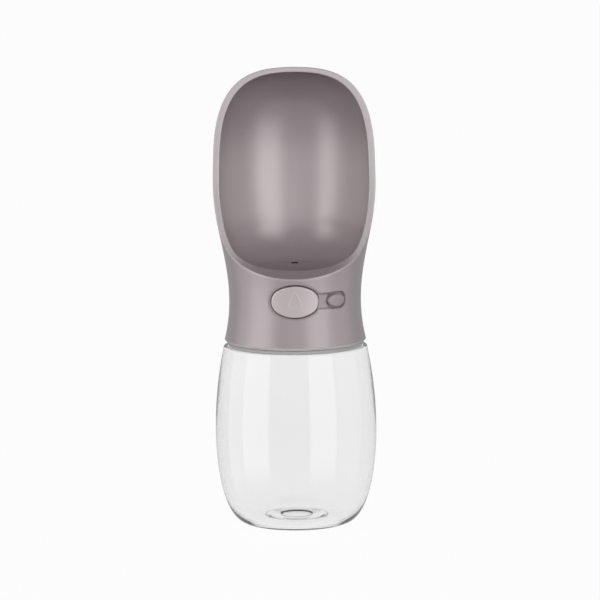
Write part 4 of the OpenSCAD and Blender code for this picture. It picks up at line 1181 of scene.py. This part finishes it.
settle(headPiece, "head", "satin_shell", "head_shell")
settle(buttonPiece, "button", "button_plastic", "button")
settle(knobPiece, "lock", "button_plastic", "lock_knob")
settle(bottlePiece, "bottle", "clear_plastic", "bottle_shell")
settle(ringPiece, "bottle", "silicone", "shoulder_ring")
settle(gasketPiece, "seal_carrier", "silicone", "mouth_gasket")
settle(deckScrews, "head", "steel", "deck_screws")
settle(smallScrews, "head", "steel", "carrier_screws")
settle(springPiece, "head", "steel", "return_spring")
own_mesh(springPiece)

nodeFinishes = {"valve_deck": innerFinish, "valve_housing": innerFinish, "gland_ring": innerFinish,
                "rear_cap": innerFinish, "button_carrier": innerFinish, "lock_plate": innerFinish,
                "inlet_seal": siliconeFinish, "rod_seal": siliconeFinish, "outlet_sleeve": siliconeFinish,
                "vent_valve": siliconeFinish, "valve_plug": siliconeFinish,
                "push_rod": steelFinish, "plug_clip": steelFinish}
for name, finish in nodeFinishes.items():
    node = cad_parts[name]
    node.data.materials.clear()
    node.data.materials.append(finish)


# Camera, floor and light

scene = bpy.context.scene
view = {"place": (2.3, -1380.5, 295.8), "pitch": 7.886, "roll": -0.45, "lens": 179.26, "sensor": 36.0}
cameraData = bpy.data.cameras.new("camera")
cameraData.lens, cameraData.sensor_width = view["lens"], view["sensor"]
camera = bpy.data.objects.new("camera", cameraData)
scene.collection.objects.link(camera)
camera.matrix_world = (Matrix.Translation(Vector(view["place"]) * mm)
                       @ Matrix.Rotation(math.radians(90 - view["pitch"]), 4, "X")
                       @ Matrix.Rotation(math.radians(view["roll"]), 4, "Z"))
scene.camera = camera

studio = {"whiteShare": 0.95, "shownFloor": 0.9, "floorColour": 0.3, "floorRoughness": 0.9, "floorHalf": 14.0,
          "zenith": 0.06, "middle": 0.55, "nadir": 0.9, "aboveFade": (5.0, 50.0), "belowFade": (-60.0, -5.0),
          "sideSoft": 2.5, "lowSoft": 8.0, "highSoft": 14.0, "aimZ": 120,
          # tall soft strips: azimuth from the front, half width, lowest and highest elevation, strength
          "strips": ((-61, 21, -23.5, 46, 1.95), (40, 20, -23.5, 46, 1.9), (-97, 16, -24, 46, 0.75),
                     (85, 22, -24, 46, 0.5))}


def seenDirectly(tree):  # 1 for rays that should see the plain white background
    path = add(tree, "ShaderNodeLightPath").outputs
    return maths(tree, "MAXIMUM", path["Is Camera Ray"], path["Is Transmission Ray"])


def makeFloor():
    material, tree, shader, output = newMaterial("floorPaper")
    direct = seenDirectly(tree)
    colour = blend(tree, direct, (*[studio["floorColour"]] * 3, 1), (*[studio["shownFloor"]] * 3, 1))
    tree.links.new(colour, shader.inputs["Base Color"])
    shader.inputs["Roughness"].default_value = studio["floorRoughness"]
    glow = add(tree, "ShaderNodeEmission", {"Color": (1, 1, 1, 1), "Strength": 1.0})
    share = maths(tree, "MULTIPLY", direct, studio["whiteShare"])
    mix = add(tree, "ShaderNodeMixShader", {0: share, 1: shader.outputs[0], 2: glow.outputs[0]})
    clear = add(tree, "ShaderNodeBsdfTransparent")  # reflections look through to the studio below the horizon
    glossy = add(tree, "ShaderNodeLightPath").outputs["Is Glossy Ray"]
    both = add(tree, "ShaderNodeMixShader", {0: glossy, 1: mix.outputs[0], 2: clear.outputs[0]})
    tree.links.new(both.outputs[0], output.inputs["Surface"])
    half = studio["floorHalf"]
    mesh = bpy.data.meshes.new("floor")
    mesh.from_pydata([(-half, -half, 0), (half, -half, 0), (half, half, 0), (-half, half, 0)], [], [(0, 1, 2, 3)])
    mesh.materials.append(material)
    floor = bpy.data.objects.new("floor", mesh)
    scene.collection.objects.link(floor)


def degrees(tree, value):
    return maths(tree, "MULTIPLY", value, 180 / math.pi)


def softMask(tree, value, low, high, lowSoft, highSoft):  # 1 between low and high, with soft ends
    rise = ramp(tree, value, low - lowSoft, low + lowSoft)
    fall = ramp(tree, value, high - highSoft, high + highSoft, 1.0, 0.0)
    return maths(tree, "MULTIPLY", rise, fall)


def makeWorld():
    world = bpy.data.worlds.new("studio")
    world.use_nodes = True
    scene.world = world
    tree = world.node_tree
    background = tree.nodes["Background"]
    way = add(tree, "ShaderNodeSeparateXYZ", {0: add(tree, "ShaderNodeTexCoord").outputs["Generated"]}).outputs
    azimuth = degrees(tree, maths(tree, "ARCTAN2", way[0], maths(tree, "MULTIPLY", way[1], -1.0)))
    elevation = degrees(tree, maths(tree, "ARCSINE", way[2]))
    above = ramp(tree, elevation, *studio["aboveFade"], studio["middle"], studio["zenith"])
    below = ramp(tree, elevation, *studio["belowFade"], studio["nadir"] - studio["middle"], 0.0)
    total = maths(tree, "ADD", above, below)
    for middle, half, low, high, strength in studio["strips"]:
        across = softMask(tree, azimuth, middle - half, middle + half, studio["sideSoft"], studio["sideSoft"])
        up = softMask(tree, elevation, low, high, studio["lowSoft"], studio["highSoft"])
        total = maths(tree, "MULTIPLY_ADD", maths(tree, "MULTIPLY", across, up), strength, total)
    strength = add(tree, "ShaderNodeMix", {0: seenDirectly(tree), 2: total, 3: 1.0})
    tree.links.new(strength.outputs[0], background.inputs["Strength"])
    background.inputs["Color"].default_value = (1, 1, 1, 1)


softboxes = [  # name, azimuth, distance, height, width, tall, watts, and whether it shows in reflections
    ("topBox", 0, 500, 1500, 1400, 1000, 1.2, True),
    ("frontFill", 0, 1900, 420, 700, 700, 16.0, False),
]


def makeLights():
    target = Vector((0, 0, studio["aimZ"])) * mm
    for name, azimuth, distance, height, width, tall, power, shows in softboxes:
        data = bpy.data.lights.new(name, "AREA")
        data.shape = "RECTANGLE"
        data.size, data.size_y, data.energy = width * mm, tall * mm, power
        lamp = bpy.data.objects.new(name, data)
        lamp.visible_glossy = lamp.visible_transmission = shows
        scene.collection.objects.link(lamp)
        a = math.radians(azimuth)
        lamp.location = Vector((math.sin(a) * distance, -math.cos(a) * distance, height)) * mm
        lamp.rotation_euler = (target - lamp.location).to_track_quat("-Z", "Y").to_euler()


makeFloor()
makeWorld()
makeLights()
scene.view_settings.view_transform = "Standard"
